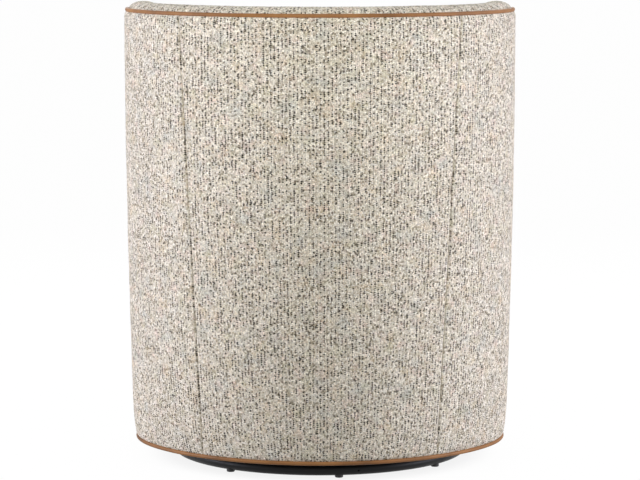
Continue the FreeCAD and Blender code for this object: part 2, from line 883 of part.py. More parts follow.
def seat_deck():
    """Padded deck over the springs; its bowed front stops behind the apron."""
    deck = Part.Face(closed_plan(*seat_plan(deck_bottom, 2.0))).extrude(V(0, 0, deck_top - deck_bottom))
    behind = bow_radius - apron_thickness - 0.5
    return deck.common(cylinder(behind, 200, 400, 0, bow_radius - apron_front))


def dust_cover():
    low = bottom_rib_z + rib_thickness + 0.1
    outline = outer_outline(low, pad_outer_inset)
    start = outline.side_point(rail_front_y + 0.5, low)
    edges = outline.edges(rail_front_y + 0.5, low)
    edges.append(line(V(-start.x, start.y, low), start))
    sheet = Part.Face(Part.Wire(Part.__sortEdges__(edges))).extrude(V(0, 0, 1.2))
    return sheet.cut(cylinder(168.0, 0, 200))


# Soft covers and pads

def front_apron():
    """Bowed padded panel between the arm fronts, slightly narrower at the foot."""
    centre_y = -apron_front + bow_radius
    sections = []
    for z in (cover_bottom, 160.0, apron_top):
        half = outer_outline(z, wall_thickness).side_point(arm_front_y, z).x - 0.8
        points = []
        for radius in (bow_radius, bow_radius - apron_thickness):
            edge_y = centre_y - math.sqrt(radius**2 - half**2)
            points.append((V(-half, edge_y, z), V(0, centre_y - radius, z), V(half, edge_y, z)))
        front, back = points
        edges = [arc(*front), line(front[2], back[2]), arc(*reversed(back)), line(back[0], front[0])]
        sections.append(Part.Wire(edges))
    return Part.makeLoft(sections, True, False)


def rim_section(edge_points):
    """Cross section of the rim band; edge_points gives its outer and inner point at a drop from the crest."""
    crown_share = (crown_inset - rim_outer_inset) / (wall_thickness - rim_outer_inset)
    outer, inner = edge_points(0.0)
    crown = outer + (inner - outer) * crown_share
    outer_high = edge_points(welt_drop)[0]
    inner_high = edge_points(inner_edge_drop)[1]
    outer_low, inner_low = edge_points(rim_drop)
    edges = [
        line(outer_low, outer_high),
        arc(outer_high, crown, inner_high),
        line(inner_high, inner_low),
        line(inner_low, outer_low),
    ]
    return Part.Wire(edges)


def arm_edge_points(crest, slope):
    def edge_points(drop):
        point = crest - slope_normal(slope) * drop
        outer = outer_outline(point.z, rim_outer_inset).side_point(point.y, point.z)
        return outer, outer_outline(point.z, wall_thickness).side_point(point.y, point.z)

    return edge_points


def level_edge_points(angle):
    """An angle below the corner joint lies on the corner arc."""
    lines = [outer_outline(crest_z - welt_drop, inset) for inset in (rim_outer_inset, wall_thickness)]

    def edge_points(drop):
        z = crest_z - drop
        if angle < lines[0].join:
            return [outline.corner_point(angle, z) for outline in lines]
        return [outline.back_point(angle, z) for outline in lines]

    return edge_points


def arm_rim_sections():
    stations = [(V(0, arm_front_y, z), 90.0) for z in (cover_bottom, 160.0, 300.0, 440.0, 560.0)]
    stations += [(nose_point(slope), slope) for slope in (90, 70, 49, 28, arm_end_slope)]
    stations += [(dip_point(slope), slope) for slope in (18, 28, 38, shoulder_slope)]
    stations += [(shoulder_point(slope), slope) for slope in (shoulder_slope, 40, 32, 24, 16, 8, 0)]
    return [rim_section(arm_edge_points(crest, slope)) for crest, slope in stations]


def plan_rim_sections(angles):
    """Level sections round the barrel."""
    return [rim_section(level_edge_points(angle)) for angle in angles]


def rim_bands():
    outline = outer_outline(seam_z_top)
    seam = math.acos(seam_x_top / outline.back_r)
    gap = rad(0.05)
    corner = [rad(a) for a in (7, 14)]
    beyond = [outline.join + (seam - gap - outline.join) * share for share in (0.0, 0.33, 0.66, 1.0)]
    arm = Part.makeLoft(arm_rim_sections() + plan_rim_sections(corner + beyond), True, True)
    span = math.pi - 2 * (seam + gap)
    angles = [seam + gap + span * i / 8 for i in range(9)]
    back = Part.makeLoft(plan_rim_sections(angles), True, False)
    return arm, back


def outer_welt():
    """Welt between the rim band and the outside panels, from one arm's foot to the other's."""
    outline = outer_outline(crest_z - welt_drop, welt_inset)
    half_turn = math.pi / 2

    def on_skin(point):
        return outer_outline(point.z, welt_inset).side_point(point.y, point.z)

    def leg_point(z):
        return on_skin(V(0, arm_front_y + welt_drop, z))

    def level_point(angle):
        if angle < outline.join:
            return outline.corner_point(angle, crest_z - welt_drop)
        return outline.back_point(angle, crest_z - welt_drop)

    runs = [
        (leg_point, [cover_bottom + 1.5, 170.0, 300.0, 440.0, 560.0], 2.0),
        (lambda s: on_skin(nose_point(s, welt_drop)), [90.0, 70.0, 49.0, 28.0], 1.0),
        (lambda s: on_skin(dip_point(s, welt_drop)), [arm_end_slope, 18.0, 28.0, 38.0], -1.0),
        (lambda s: on_skin(shoulder_point(s, welt_drop)), [shoulder_slope, 36.0, 24.0, 12.0], 1.0),
    ]
    points = []
    ways = []
    for curve, values, step in runs:
        points += [curve(value) for value in values]
        directions = curve_ways(curve, values, step)
        ways += [way if way.z > -0.01 and way.y >= -0.01 else way * -1 for way in directions]
    level = [0.0, outline.join / 2, outline.join] + [outline.join + (half_turn - outline.join) * s for s in
                                                    (0.25, 0.5, 0.75, 1.0)]
    points += [level_point(angle) for angle in level]
    ways += [V(0, 1, 0)] + [V(-math.sin(angle), math.cos(angle), 0) for angle in level[1:]]
    points += [V(-p.x, p.y, p.z) for p in reversed(points[:-1])]
    ways += [V(w.x, -w.y, -w.z) for w in reversed(ways[:-1])]
    wire = smooth_wire(points, ways)
    return pipe(wire, points[0], ways[0], welt_radius)


def hem_welt():
    """Closed welt under the covers: barrel outline, rounded front corners and bowed front."""
    outline = outer_outline(hem_z, welt_inset + 1.0)
    return ring_pipe((outline, arm_front_y + 28.0, 22.0, bow_radius - apron_front, bow_radius - 2.5, hem_z),
                     welt_radius)


def export(name, shape):
    if not shape.isValid():
        print("not valid:", name)
    for solid in shape.Solids:
        if solid.Volume <= 0:
            print("no volume:", name)
    box_size = shape.optimalBoundingBox(False, False)
    print("%-22s solids %3d  faces %4d  z %.1f to %.1f  y %.1f to %.1f  x to %.1f" % (
        name, len(shape.Solids), len(shape.Faces), box_size.ZMin, box_size.ZMax, box_size.YMin, box_size.YMax,
        box_size.XMax))
    lowered_shape = shape.copy()
    lowered_shape.translate(V(0, 0, -floor_level))
    lowered_shape.exportStep("parts/" + name + ".step")


def build_base():
    for name, shape in [
        ("base_ring", base_ring()),
        ("base_cross_bars", base_cross_bars()),
        ("glides", glides()),
        ("hub_plate", hub_plate()),
        ("hub_bolts", hub_bolts()),
        ("hub_nuts", hub_nuts()),
        ("lower_race", lower_race()),
        ("king_bolt", king_bolt()),
        ("king_washer", king_washer()),
        ("king_nut", king_nut()),
        ("ball_cage", ball_cage()),
        ("bearing_balls", bearing_balls()),
    ]:
        export(name, turned(shape, base_turn))


def build_mechanism():
    bracket = lower_bracket()
    hanger = upper_bracket()
    spring = rocker_spring()
    for name, shape in [
        ("swivel_plate", swivel_plate()),
        ("upper_race", upper_race()),
        ("swivel_bushing", swivel_bushing()),
        ("lower_bracket_left", bracket),
        ("lower_bracket_right", mirrored(bracket)),
        ("pivot_shaft", pivot_shaft()),
        ("shaft_clips", shaft_clips()),
        ("rubber_stops", rubber_stops()),
        ("rocker_spring_front_left", moved(spring, spring_x, -spring_y)),
        ("rocker_spring_front_right", moved(spring, -spring_x, -spring_y)),
        ("rocker_spring_rear_left", moved(spring, spring_x, spring_y)),
        ("rocker_spring_rear_right", moved(spring, -spring_x, spring_y)),
        ("rocker_top_plate", rocker_top_plate()),
        ("upper_bracket_left", hanger),
        ("upper_bracket_right", mirrored(hanger)),
        ("pivot_bushings", pivot_bushings()),
        ("mounting_bolts", mounting_bolts()),
        ("mounting_nuts", mounting_nuts()),
    ]:
        export(name, shape)


def build_frame():
    strip = under_crest(timber_drop).cut(under_crest(timber_drop + timber_depth))
    timber = timber_wall().common(strip)
    arm_rail = timber.common(box(0, far_out, -far_out, rail_joint_y - layer_gap, front_post_top, far_above))
    front_board = front_rail()
    seat_rib = rib(seat_board_top - rib_thickness, wall_thickness, rail_end_y + 1).cut(front_board)
    springs, start_y, end_y, z, wire_radius = seat_springs()
    for name, shape in [
        ("mechanism_rails", mechanism_rails()),
        ("front_rail", front_board),
        ("rear_rail", rear_rail(seat_rib)),
        ("seat_rib", seat_rib),
        ("bottom_rib", rib(bottom_rib_z, bottom_rib_inset, rail_end_y + 1)),
        ("top_rib", timber.common(box(-far_out, far_out, rail_joint_y, far_out, front_post_top, far_above))),
        ("arm_rail_left", arm_rail),
        ("arm_rail_right", mirrored(arm_rail)),
        ("frame_posts", frame_posts(timber)),
        ("corner_blocks", corner_blocks()),
        ("seat_springs", Part.makeCompound(springs)),
        ("spring_clips", spring_clips(start_y, end_y, z, wire_radius)),
        ("seat_deck", seat_deck()),
        ("dust_cover", dust_cover()),
    ]:
        export(name, shape)


def build_covers():
    skin = body_wall(0.0, cover_thickness, [cover_bottom, 80, 130, 300, 560, 720, 843], arm_front_y)
    skin = skin.common(under_crest(cover_drop))
    pad = pad_wall([seat_board_top + 1, 330, 480, 660, 843], arm_front_y).common(under_crest(pad_drop))
    back_half = inside_seam_x - layer_gap
    inside_box = box(-back_half, back_half, 0, far_out, 0, far_above)
    arm_box = box(inside_seam_x + layer_gap, far_out, -far_out, far_out, 0, far_above)
    arm_band, back_band = rim_bands()
    cushion = seat_cushion()
    outside_arm = skin.common(side_prism(layer_gap))
    inside_arm = pad.common(arm_box)
    for name, shape in [
        ("outside_back_panel", skin.common(seam_prism(layer_gap))),
        ("outside_arm_left", outside_arm),
        ("outside_arm_right", mirrored(outside_arm)),
        ("inside_back_pad", pad.common(inside_box)),
        ("inside_arm_left", inside_arm),
        ("inside_arm_right", mirrored(inside_arm)),
        ("rim_band_back", back_band),
        ("rim_band_left", arm_band),
        ("rim_band_right", mirrored(arm_band)),
        ("front_apron", front_apron()),
        ("seat_cushion", cushion),
        ("cushion_welts", cushion_welts()),
        ("outer_welt", outer_welt()),
        ("hem_welt", hem_welt()),
    ]:
        export(name, shape)


os.makedirs("parts", exist_ok=True)
build_base()
build_mechanism()
build_frame()
build_covers()
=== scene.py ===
import json
import math
from functools import lru_cache

import bpy
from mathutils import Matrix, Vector, noise


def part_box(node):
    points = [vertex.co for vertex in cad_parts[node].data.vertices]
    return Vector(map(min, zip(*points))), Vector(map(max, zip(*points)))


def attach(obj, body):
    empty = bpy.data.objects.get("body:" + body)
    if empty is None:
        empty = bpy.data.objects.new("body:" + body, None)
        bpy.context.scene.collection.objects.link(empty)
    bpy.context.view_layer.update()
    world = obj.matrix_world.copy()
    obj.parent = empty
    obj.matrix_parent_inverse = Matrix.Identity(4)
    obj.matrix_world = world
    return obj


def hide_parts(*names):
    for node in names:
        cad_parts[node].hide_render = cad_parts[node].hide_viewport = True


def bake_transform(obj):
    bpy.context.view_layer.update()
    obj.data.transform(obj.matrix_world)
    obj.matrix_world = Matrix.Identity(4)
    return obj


# Barrel-backed swivel rocker chair. The shapes are worked out in millimetres, with heights as in the
# part's source, where the floor is at floor_level, and become metres when a mesh is made.

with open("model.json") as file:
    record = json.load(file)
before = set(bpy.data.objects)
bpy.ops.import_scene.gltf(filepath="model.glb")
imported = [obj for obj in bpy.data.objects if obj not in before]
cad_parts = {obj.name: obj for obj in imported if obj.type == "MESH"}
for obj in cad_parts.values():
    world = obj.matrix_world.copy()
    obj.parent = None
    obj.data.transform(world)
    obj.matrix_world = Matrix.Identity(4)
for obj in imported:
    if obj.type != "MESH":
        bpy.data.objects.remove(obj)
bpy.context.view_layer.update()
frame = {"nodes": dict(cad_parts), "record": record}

MM = 0.001
floor_level = 3.8

# Outer body, as in the part's source
body_half_width = 363.0
back_reach = 372.0
widest_height = 835.0
side_lean = 2.2e-5
back_lean = 3.4e-5
tuck_start = 110.0
tuck_depth = 5.0
tuck_height = 73.0
corner_radius = 240.0
corner_y = 45.0
side_radius = 2000.0
wall_thickness = 62.0
lumbar_per_height = 0.055
hem_z = 44.0
cover_bottom = 48.0
crest_z = 858.0
shoulder_radius = 220.0
shoulder_slope = 48.0
slope_run = 40.0
dip_radius = 260.0
arm_end_slope = 8.0
arm_nose_radius = 50.0
seam_x_top = 253.0
seam_x_bottom = 213.0
seam_z_top = 840.0
seam_z_bottom = 58.0
inside_seam_x = 205.0
bow_radius = 1515.0
apron_front = 366.0
apron_top = 302.0
cushion_bottom = 304.0
cushion_front = 376.0
cushion_welt_bottom = 312.0
cushion_welt_top = 442.0
cushion_crown = 476.0
cushion_step = 7.0
pad_bottom = 271.0

# Trim and padding
welt_drop = 15.0
welt_inset = 5.2
welt_radius = 3.8
cushion_welt_radius = 3.5
band_outer_inset = 8.2
band_crown_inset = 34.0
band_underside = 20.0
panel_back = 8.0
seam_gap = 0.4
seam_roll = (7.0, 3.0)
top_roll = (13.0, 7.0)
hem_roll = (9.0, 5.0)
pad_back = 26.0
pad_seam_roll = (12.0, 5.0)
pad_front_roll = (12.0, 6.0)
pad_top_roll = (14.0, 8.0)
pad_foot_roll = (6.0, 3.0)

# Mesh steps, and the finer ones near an edge
grid_step = 5.0
pad_step = 6.0
edge_steps = [0.8, 2.0, 3.6, 5.6, 8.2, 11.4]
edge_rest = 3.8
sharp_angle = 42.0


def height(z):
    """Height over the floor in metres."""
    return (z - floor_level) * MM


def lerp(a, b, t):
    return a + (b - a) * t


# Plan of the barrel

@lru_cache(maxsize=None)
def plan(z, inner):
    """Arc centres and radii of the outline at height z: outside, or the room side of the pads."""
    tuck = tuck_depth * max(0.0, (tuck_start - z) / tuck_height) ** 2
    width = body_half_width - side_lean * (widest_height - z) ** 2 - tuck
    back = back_reach - back_lean * (widest_height - z) ** 2 - tuck
    wall = 0.0
    if inner:
        wall = wall_thickness
        width -= wall
        back -= wall + lumbar_per_height * (widest_height - z)
    corner = corner_radius - wall
    side = side_radius - wall
    span = back - corner_y
    back_r = (width**2 + span**2 - 2 * width * corner) / (2 * (span - corner))
    back_y = back - back_r
    join = math.atan2(corner_y - back_y, width - corner)
    return back_y, back_r, width - corner, corner, width - side, side, join


reference = plan(widest_height, False)
back_length = reference[1] * (math.pi / 2 - reference[6])
corner_length = reference[3] * reference[6]
side_start = back_length + corner_length


def skin(q, z, inset=0.0, inner=False):
    """Point at q along the outline from the middle of the back, at height z, drawn in by inset."""
    back_y, back_r, corner_x, corner_r, side_x, side_r, join = plan(round(z, 2), inner)
    along = abs(q)
    if along < back_length:
        angle = (math.pi / 2 - join) * along / back_length
        x = (back_r - inset) * math.sin(angle)
        y = back_y + (back_r - inset) * math.cos(angle)
    elif along < side_start:
        angle = join * (side_start - along) / corner_length
        x = corner_x + (corner_r - inset) * math.cos(angle)
        y = corner_y + (corner_r - inset) * math.sin(angle)
    else:
        y = corner_y + side_start - along
        x = side_x + math.sqrt((side_r - inset) ** 2 - (y - corner_y) ** 2)
    return Vector((math.copysign(x, q), y, z))


def q_at_x(x, z, inner=False):
    """The q of a point x from the middle, on the back's arc."""
    _, back_r, _, _, _, _, join = plan(round(z, 2), inner)
    return back_length * math.asin(x / back_r) / (math.pi / 2 - join)


def seam_q(z):
    run = (z - seam_z_bottom) / (seam_z_top - seam_z_bottom)
    return q_at_x(lerp(seam_x_bottom, seam_x_top, run), z)


# Crest of the rim: stations (q, z, slope) from the middle of the back to the foot of the arm front

def bend(stations, first, last, radius, fineness=1.0):
    """Adds an arc of stations from one slope to another; a negative radius levels the crest out."""
    q, z, _ = stations[-1]
    for slope in spaced(first, last, grid_step / abs(radius) * fineness)[1:]:
        stations.append((q + radius * (math.sin(slope) - math.sin(first)),
                         z - radius * (math.cos(first) - math.cos(slope)), slope))


def crest_line():
    stations = [(q, crest_z, 0.0) for q in spaced(0.0, side_start)]
    top = math.radians(shoulder_slope)
    low = math.radians(arm_end_slope)
    bend(stations, 0.0, top, shoulder_radius)
    q, z, _ = stations[-1]
    for run in spaced(0.0, slope_run)[1:]:
        stations.append((q + run * math.cos(top), z - run * math.sin(top), top))
    bend(stations, top, low, -dip_radius)
    bend(stations, low, math.pi / 2, arm_nose_radius, fineness=0.7)
    q, z, _ = stations[-1]
    for level in spaced(z, cover_bottom)[1:]:
        stations.append((q, level, math.pi / 2))
    return stations


def spaced(start, end, step=grid_step):
    count = max(2, round(abs(end - start) / step))
    return [lerp(start, end, i / count) for i in range(count + 1)]


def edged(start, end, step=grid_step):
    """Like spaced, with finer steps at both ends, where a padded edge rolls in."""
    run = end - start
    if abs(run) < 4 * edge_steps[-1]:
        return spaced(start, end, step)
    way = math.copysign(1.0, run)
    rest = way * (edge_steps[-1] + edge_rest)
    return ([start] + [start + way * n for n in edge_steps] + spaced(start + rest, end - rest, step)
            + [end - way * n for n in reversed(edge_steps)] + [end])


def lowered(station, drop):
    q, z, slope = station
    return q - math.sin(slope) * drop, z - math.cos(slope) * drop


crest = crest_line()
front_q = crest[-1][0]


def path_lengths(points):
    """Length of a polyline up to each of its points."""
    lengths = [0.0]
    for a, b in zip(points, points[1:]):
        lengths.append(lengths[-1] + math.dist(a, b))
    return lengths


def resample(points, shares):
    """Points of a polyline at shares of its length."""
    lengths = path_lengths(points)
    result = []
    i = 0
    for share in shares:
        target = share * lengths[-1]
        while i < len(lengths) - 2 and lengths[i + 1] < target:
            i += 1
        t = (target - lengths[i]) / max(1e-9, lengths[i + 1] - lengths[i])
        result.append(tuple(lerp(a, b, min(1.0, t)) for a, b in zip(points[i], points[i + 1])))
    return result


# Meshes

def make_object(name, points, faces, weave=None):
    """Object from points in millimetres; weave gives each point its place in the cloth, in millimetres."""
    mesh = bpy.data.meshes.new(name)
    mesh.from_pydata([(p[0] * MM, p[1] * MM, height(p[2])) for p in points], [], faces)
    if weave:
        layer = mesh.uv_layers.new(name="weave")
        flat = []
        for loop in mesh.loops:
            u, v = weave[loop.vertex_index]
            flat += [u * MM, v * MM]
        layer.data.foreach_set("uv", flat)
    mesh.validate()
    mesh.shade_smooth()
    mesh.set_sharp_from_angle(angle=math.radians(sharp_angle))
    mesh.update()
    obj = bpy.data.objects.new(name, mesh)
    bpy.context.scene.collection.objects.link(obj)
    return obj


def grid_faces(rows, columns, offset=0, flip=False, wrap=False):
    faces = []
    last = columns if wrap else columns - 1
    for i in range(rows - 1):
        for j in range(last):
            k = (j + 1) % columns
            a, b = offset + i * columns + j, offset + i * columns + k
            c, d = offset + (i + 1) * columns + k, offset + (i + 1) * columns + j
            faces.append((a, d, c, b) if flip else (a, b, c, d))
    return faces


def slab(name, outer, inner, weave):
    """Closed shell between two grids of the same size."""
    rows, columns = len(outer), len(outer[0])
    points = [p for row in outer for p in row] + [p for row in inner for p in row]
    shift = rows * columns
    faces = grid_faces(rows, columns) + grid_faces(rows, columns, shift, flip=True)
    border = list(range(columns)) + [i * columns + columns - 1 for i in range(1, rows)]
    border += [(rows - 1) * columns + j for j in range(columns - 2, -1, -1)]
    border += [i * columns for i in range(rows - 2, 0, -1)]
    for a, b in zip(border, border[1:] + border[:1]):
        faces.append((b, a, a + shift, b + shift))
    cloth = [w for row in weave for w in row]
    return make_object(name, points, faces, cloth + cloth)


def sweep(name, sections, weave_along, weave_across, closed=False):
    """Closed solid swept through rings of points; open ends get caps."""
    rows, columns = len(sections), len(sections[0])
    points = [p for ring in sections for p in ring]
    faces = grid_faces(rows, columns, wrap=True)
    if closed:
        last = (rows - 1) * columns
        for j in range(columns):
            k = (j + 1) % columns
            faces.append((last + j, last + k, k, j))
    else:
        faces.append(tuple(range(columns)))
        faces.append(tuple((rows - 1) * columns + j for j in reversed(range(columns))))
    weave = [(weave_along[i], weave_across[j]) for i in range(rows) for j in range(columns)]
    return make_object(name, points, faces, weave)


def tube(name, path, radius, closed=False, sides=14, waviness=0.035):
    """Round cord along points; waviness makes it slightly uneven, as leather over a cord is."""
    count = len(path)
    wave_rate = 0.03
    sections = []
    side = None
    for i, p in enumerate(path):
        before = path[(i - 1) % count] if closed or i else p
        after = path[(i + 1) % count] if closed or i < count - 1 else p
        way = (after - before).normalized()
        if side is None:
            side = way.cross(Vector((0, 0, 1)))
        side = (side - way * side.dot(way)).normalized()
        up = way.cross(side)
        swell = radius * (1 + waviness * noise.noise(p * wave_rate))
        ring = []
        for k in range(sides):
            angle = 2 * math.pi * k / sides
            ring.append(p + (side * math.cos(angle) + up * math.sin(angle)) * swell)
        sections.append(ring)
    across = [2 * math.pi * radius * k / sides for k in range(sides)]
    return sweep(name, sections, path_lengths(path), across, closed)


def uneven(p, size):
    """Slight waviness of cloth over padding, in millimetres: broad waves with finer ones on them."""
    broad_rate, fine_rate, fine_share = 0.011, 0.037, 0.45
    shift = Vector((7.1, 0, 3.3))
    return size * (noise.noise(p * broad_rate) + fine_share * noise.noise(p * fine_rate + shift))


def edge_roll(distance, width, depth):
    """How far a padded edge is drawn in at a distance from its seam."""
    if distance >= width:
        return 0.0
    run = 1 - distance / width
    return depth * (1 - math.sqrt(max(0.0, 1 - run * run)))


def coons(bottom, top, left, right):
    """Grid of (q, z) between four boundary lines given as equally long lists of points."""
    rows, columns = len(left), len(bottom)
    grid = []
    for i in range(rows):
        v = i / (rows - 1)
        row = []
        for j in range(columns):
            t = j / (columns - 1)
            point = []
            for axis in (0, 1):
                edges = lerp(bottom[j][axis], top[j][axis], v) + lerp(left[i][axis], right[i][axis], t)
                corners = lerp(lerp(bottom[0][axis], bottom[-1][axis], t),
                               lerp(top[0][axis], top[-1][axis], t), v)
                point.append(edges - corners)
            row.append(tuple(point))
        grid.append(row)
    return grid


def panel(name, grid, surface, rolls, waviness, thickness, swell=0.0, shift=(0.0, 0.0), flip=False):
    """Padded panel on a surface(q, z, inset). rolls gives (width, depth) of the rolled edge at the
    bottom, top, left and right; swell is how far the middle of the padding stands out."""
    swell_reach = 55.0
    calm_edge = 20.0
    least_thickness = 0.8
    outer, inner, weave = [], [], []
    for row in grid:
        outer_row, inner_row, weave_row = [], [], []
        for j, here in enumerate(row):
            edges = (grid[0][j], grid[-1][j], row[0], row[-1])
            distances = [math.dist(here, edge) for edge in edges]
            inset = max(edge_roll(d, *roll) for d, roll in zip(distances, rolls))
            out = 1.0
            for d in distances:
                out *= 1 - math.exp(-d / swell_reach)
            base = surface(here[0], here[1], 0.0)
            rise = swell * out + uneven(base, waviness) * min(1.0, min(distances) / calm_edge)
            outer_row.append(surface(here[0], here[1], inset - rise))
            inner_row.append(surface(here[0], here[1], max(inset + least_thickness, thickness)))
            weave_row.append((here[0] + shift[0], here[1] + shift[1]))
        outer.append(outer_row)
        inner.append(inner_row)
        weave.append(weave_row)
    if flip:
        outer, inner, weave = outer[::-1], inner[::-1], weave[::-1]
    return slab(name, outer, inner, weave)


# Materials

class Shader:
    """A material and short ways to add its nodes."""

    def __init__(self, name):
        self.material = bpy.data.materials.new(name)
        self.material.use_nodes = True
        self.tree = self.material.node_tree
        self.tree.nodes.clear()
        self.output = self.tree.nodes.new("ShaderNodeOutputMaterial")

    def add(self, kind, inputs=(), **settings):
        node = self.tree.nodes.new("ShaderNode" + kind)
        for key, value in settings.items():
            setattr(node, key, value)
        for key, value in dict(inputs).items():
            socket = node.inputs[key]
            if isinstance(value, bpy.types.NodeSocket):
                self.tree.links.new(value, socket)
            else:
                socket.default_value = value
        return node

    def math(self, operation, a, b=0.0, c=0.0):
        return self.add("Math", {0: a, 1: b, 2: c}, operation=operation).outputs[0]

    def place(self):
        """Place in the object's own frame, in metres, so that a scale is a rate per metre."""
        return self.add("TexCoord").outputs["Object"]

    def vector(self, x, y, z=0.0):
        return self.add("CombineXYZ", {0: x, 1: y, 2: z}).outputs[0]

    def scaled(self, vector, factors):
        return self.add("VectorMath", {0: vector, 1: factors}, operation="MULTIPLY").outputs[0]

    def cell(self, value):
        """Number of the unit cell that a value falls in, and its offset from the middle of it."""
        offset = self.math("SUBTRACT", self.math("FRACT", value), 0.5)
        return self.math("FLOOR", value), offset

    def vary(self, value, random, share):
        """The value moved up or down by a random number from 0 to 1, by share in all."""
        return self.math("MULTIPLY_ADD", self.math("SUBTRACT", random, 0.5), share, value)

    def squared(self, value, unit):
        return self.math("POWER", self.math("DIVIDE", self.math("ABSOLUTE", value), unit), 2.0)

    def dome(self, offset, fall):
        """1 in the middle of a cell, falling off with the square of the offset."""
        squared = self.math("MULTIPLY", offset, offset)
        return self.math("SUBTRACT", 1.0, self.math("MULTIPLY", squared, fall))

    def noise(self, vector, scale, detail=2.0, rough=0.5, colour=False):
        node = self.add("TexNoise", {"Vector": vector, "Scale": scale, "Detail": detail,
                                     "Roughness": rough})
        return node.outputs[1 if colour else 0]

    def white(self, x, y=0.0):
        return self.add("TexWhiteNoise", {"Vector": self.vector(x, y)}, noise_dimensions="2D").outputs

    def ramp(self, value, stops):
        node = self.add("ValToRGB", {0: value})
        elements = node.color_ramp.elements
        while len(elements) > 1:
            elements.remove(elements[-1])
        elements[0].position = stops[0][0]
        elements[0].color = rgba(stops[0][1])
        for position, colour in stops[1:]:
            elements.new(position).color = rgba(colour)
        return node.outputs[0]

    def spread(self, value, low, high, to_low=0.0, to_high=1.0, smooth=False):
        kind = "SMOOTHSTEP" if smooth else "LINEAR"
        node = self.add("MapRange", {0: value, 1: low, 2: high, 3: to_low, 4: to_high},
                        interpolation_type=kind)
        return node.outputs[0]

    def mix(self, share, a, b, blend="MIX"):
        node = self.add("Mix", {0: share, 6: as_colour(a), 7: as_colour(b)}, data_type="RGBA",
                        blend_type=blend)
        return node.outputs[2]

    def shaded(self, colour, factor):
        return self.mix(1.0, colour, self.vector(factor, factor, factor), "MULTIPLY")

    def bump(self, height, distance, strength=1.0):
        return self.add("Bump", {"Height": height, "Distance": distance, "Strength": strength}).outputs[0]

    def principled(self, inputs):
        node = self.add("BsdfPrincipled", inputs)
        self.tree.links.new(node.outputs[0], self.output.inputs[0])
        return self.material


def linear(channel):
    channel /= 255.0
    return channel / 12.92 if channel <= 0.04045 else ((channel + 0.055) / 1.055) ** 2.4


def rgba(colour):
    return tuple(linear(c) for c in colour) + (1.0,)


def as_colour(value):
    return rgba(value) if isinstance(value, tuple) and len(value) == 3 else value


rib_pitch = 0.0068
dot_pitch = 0.0037


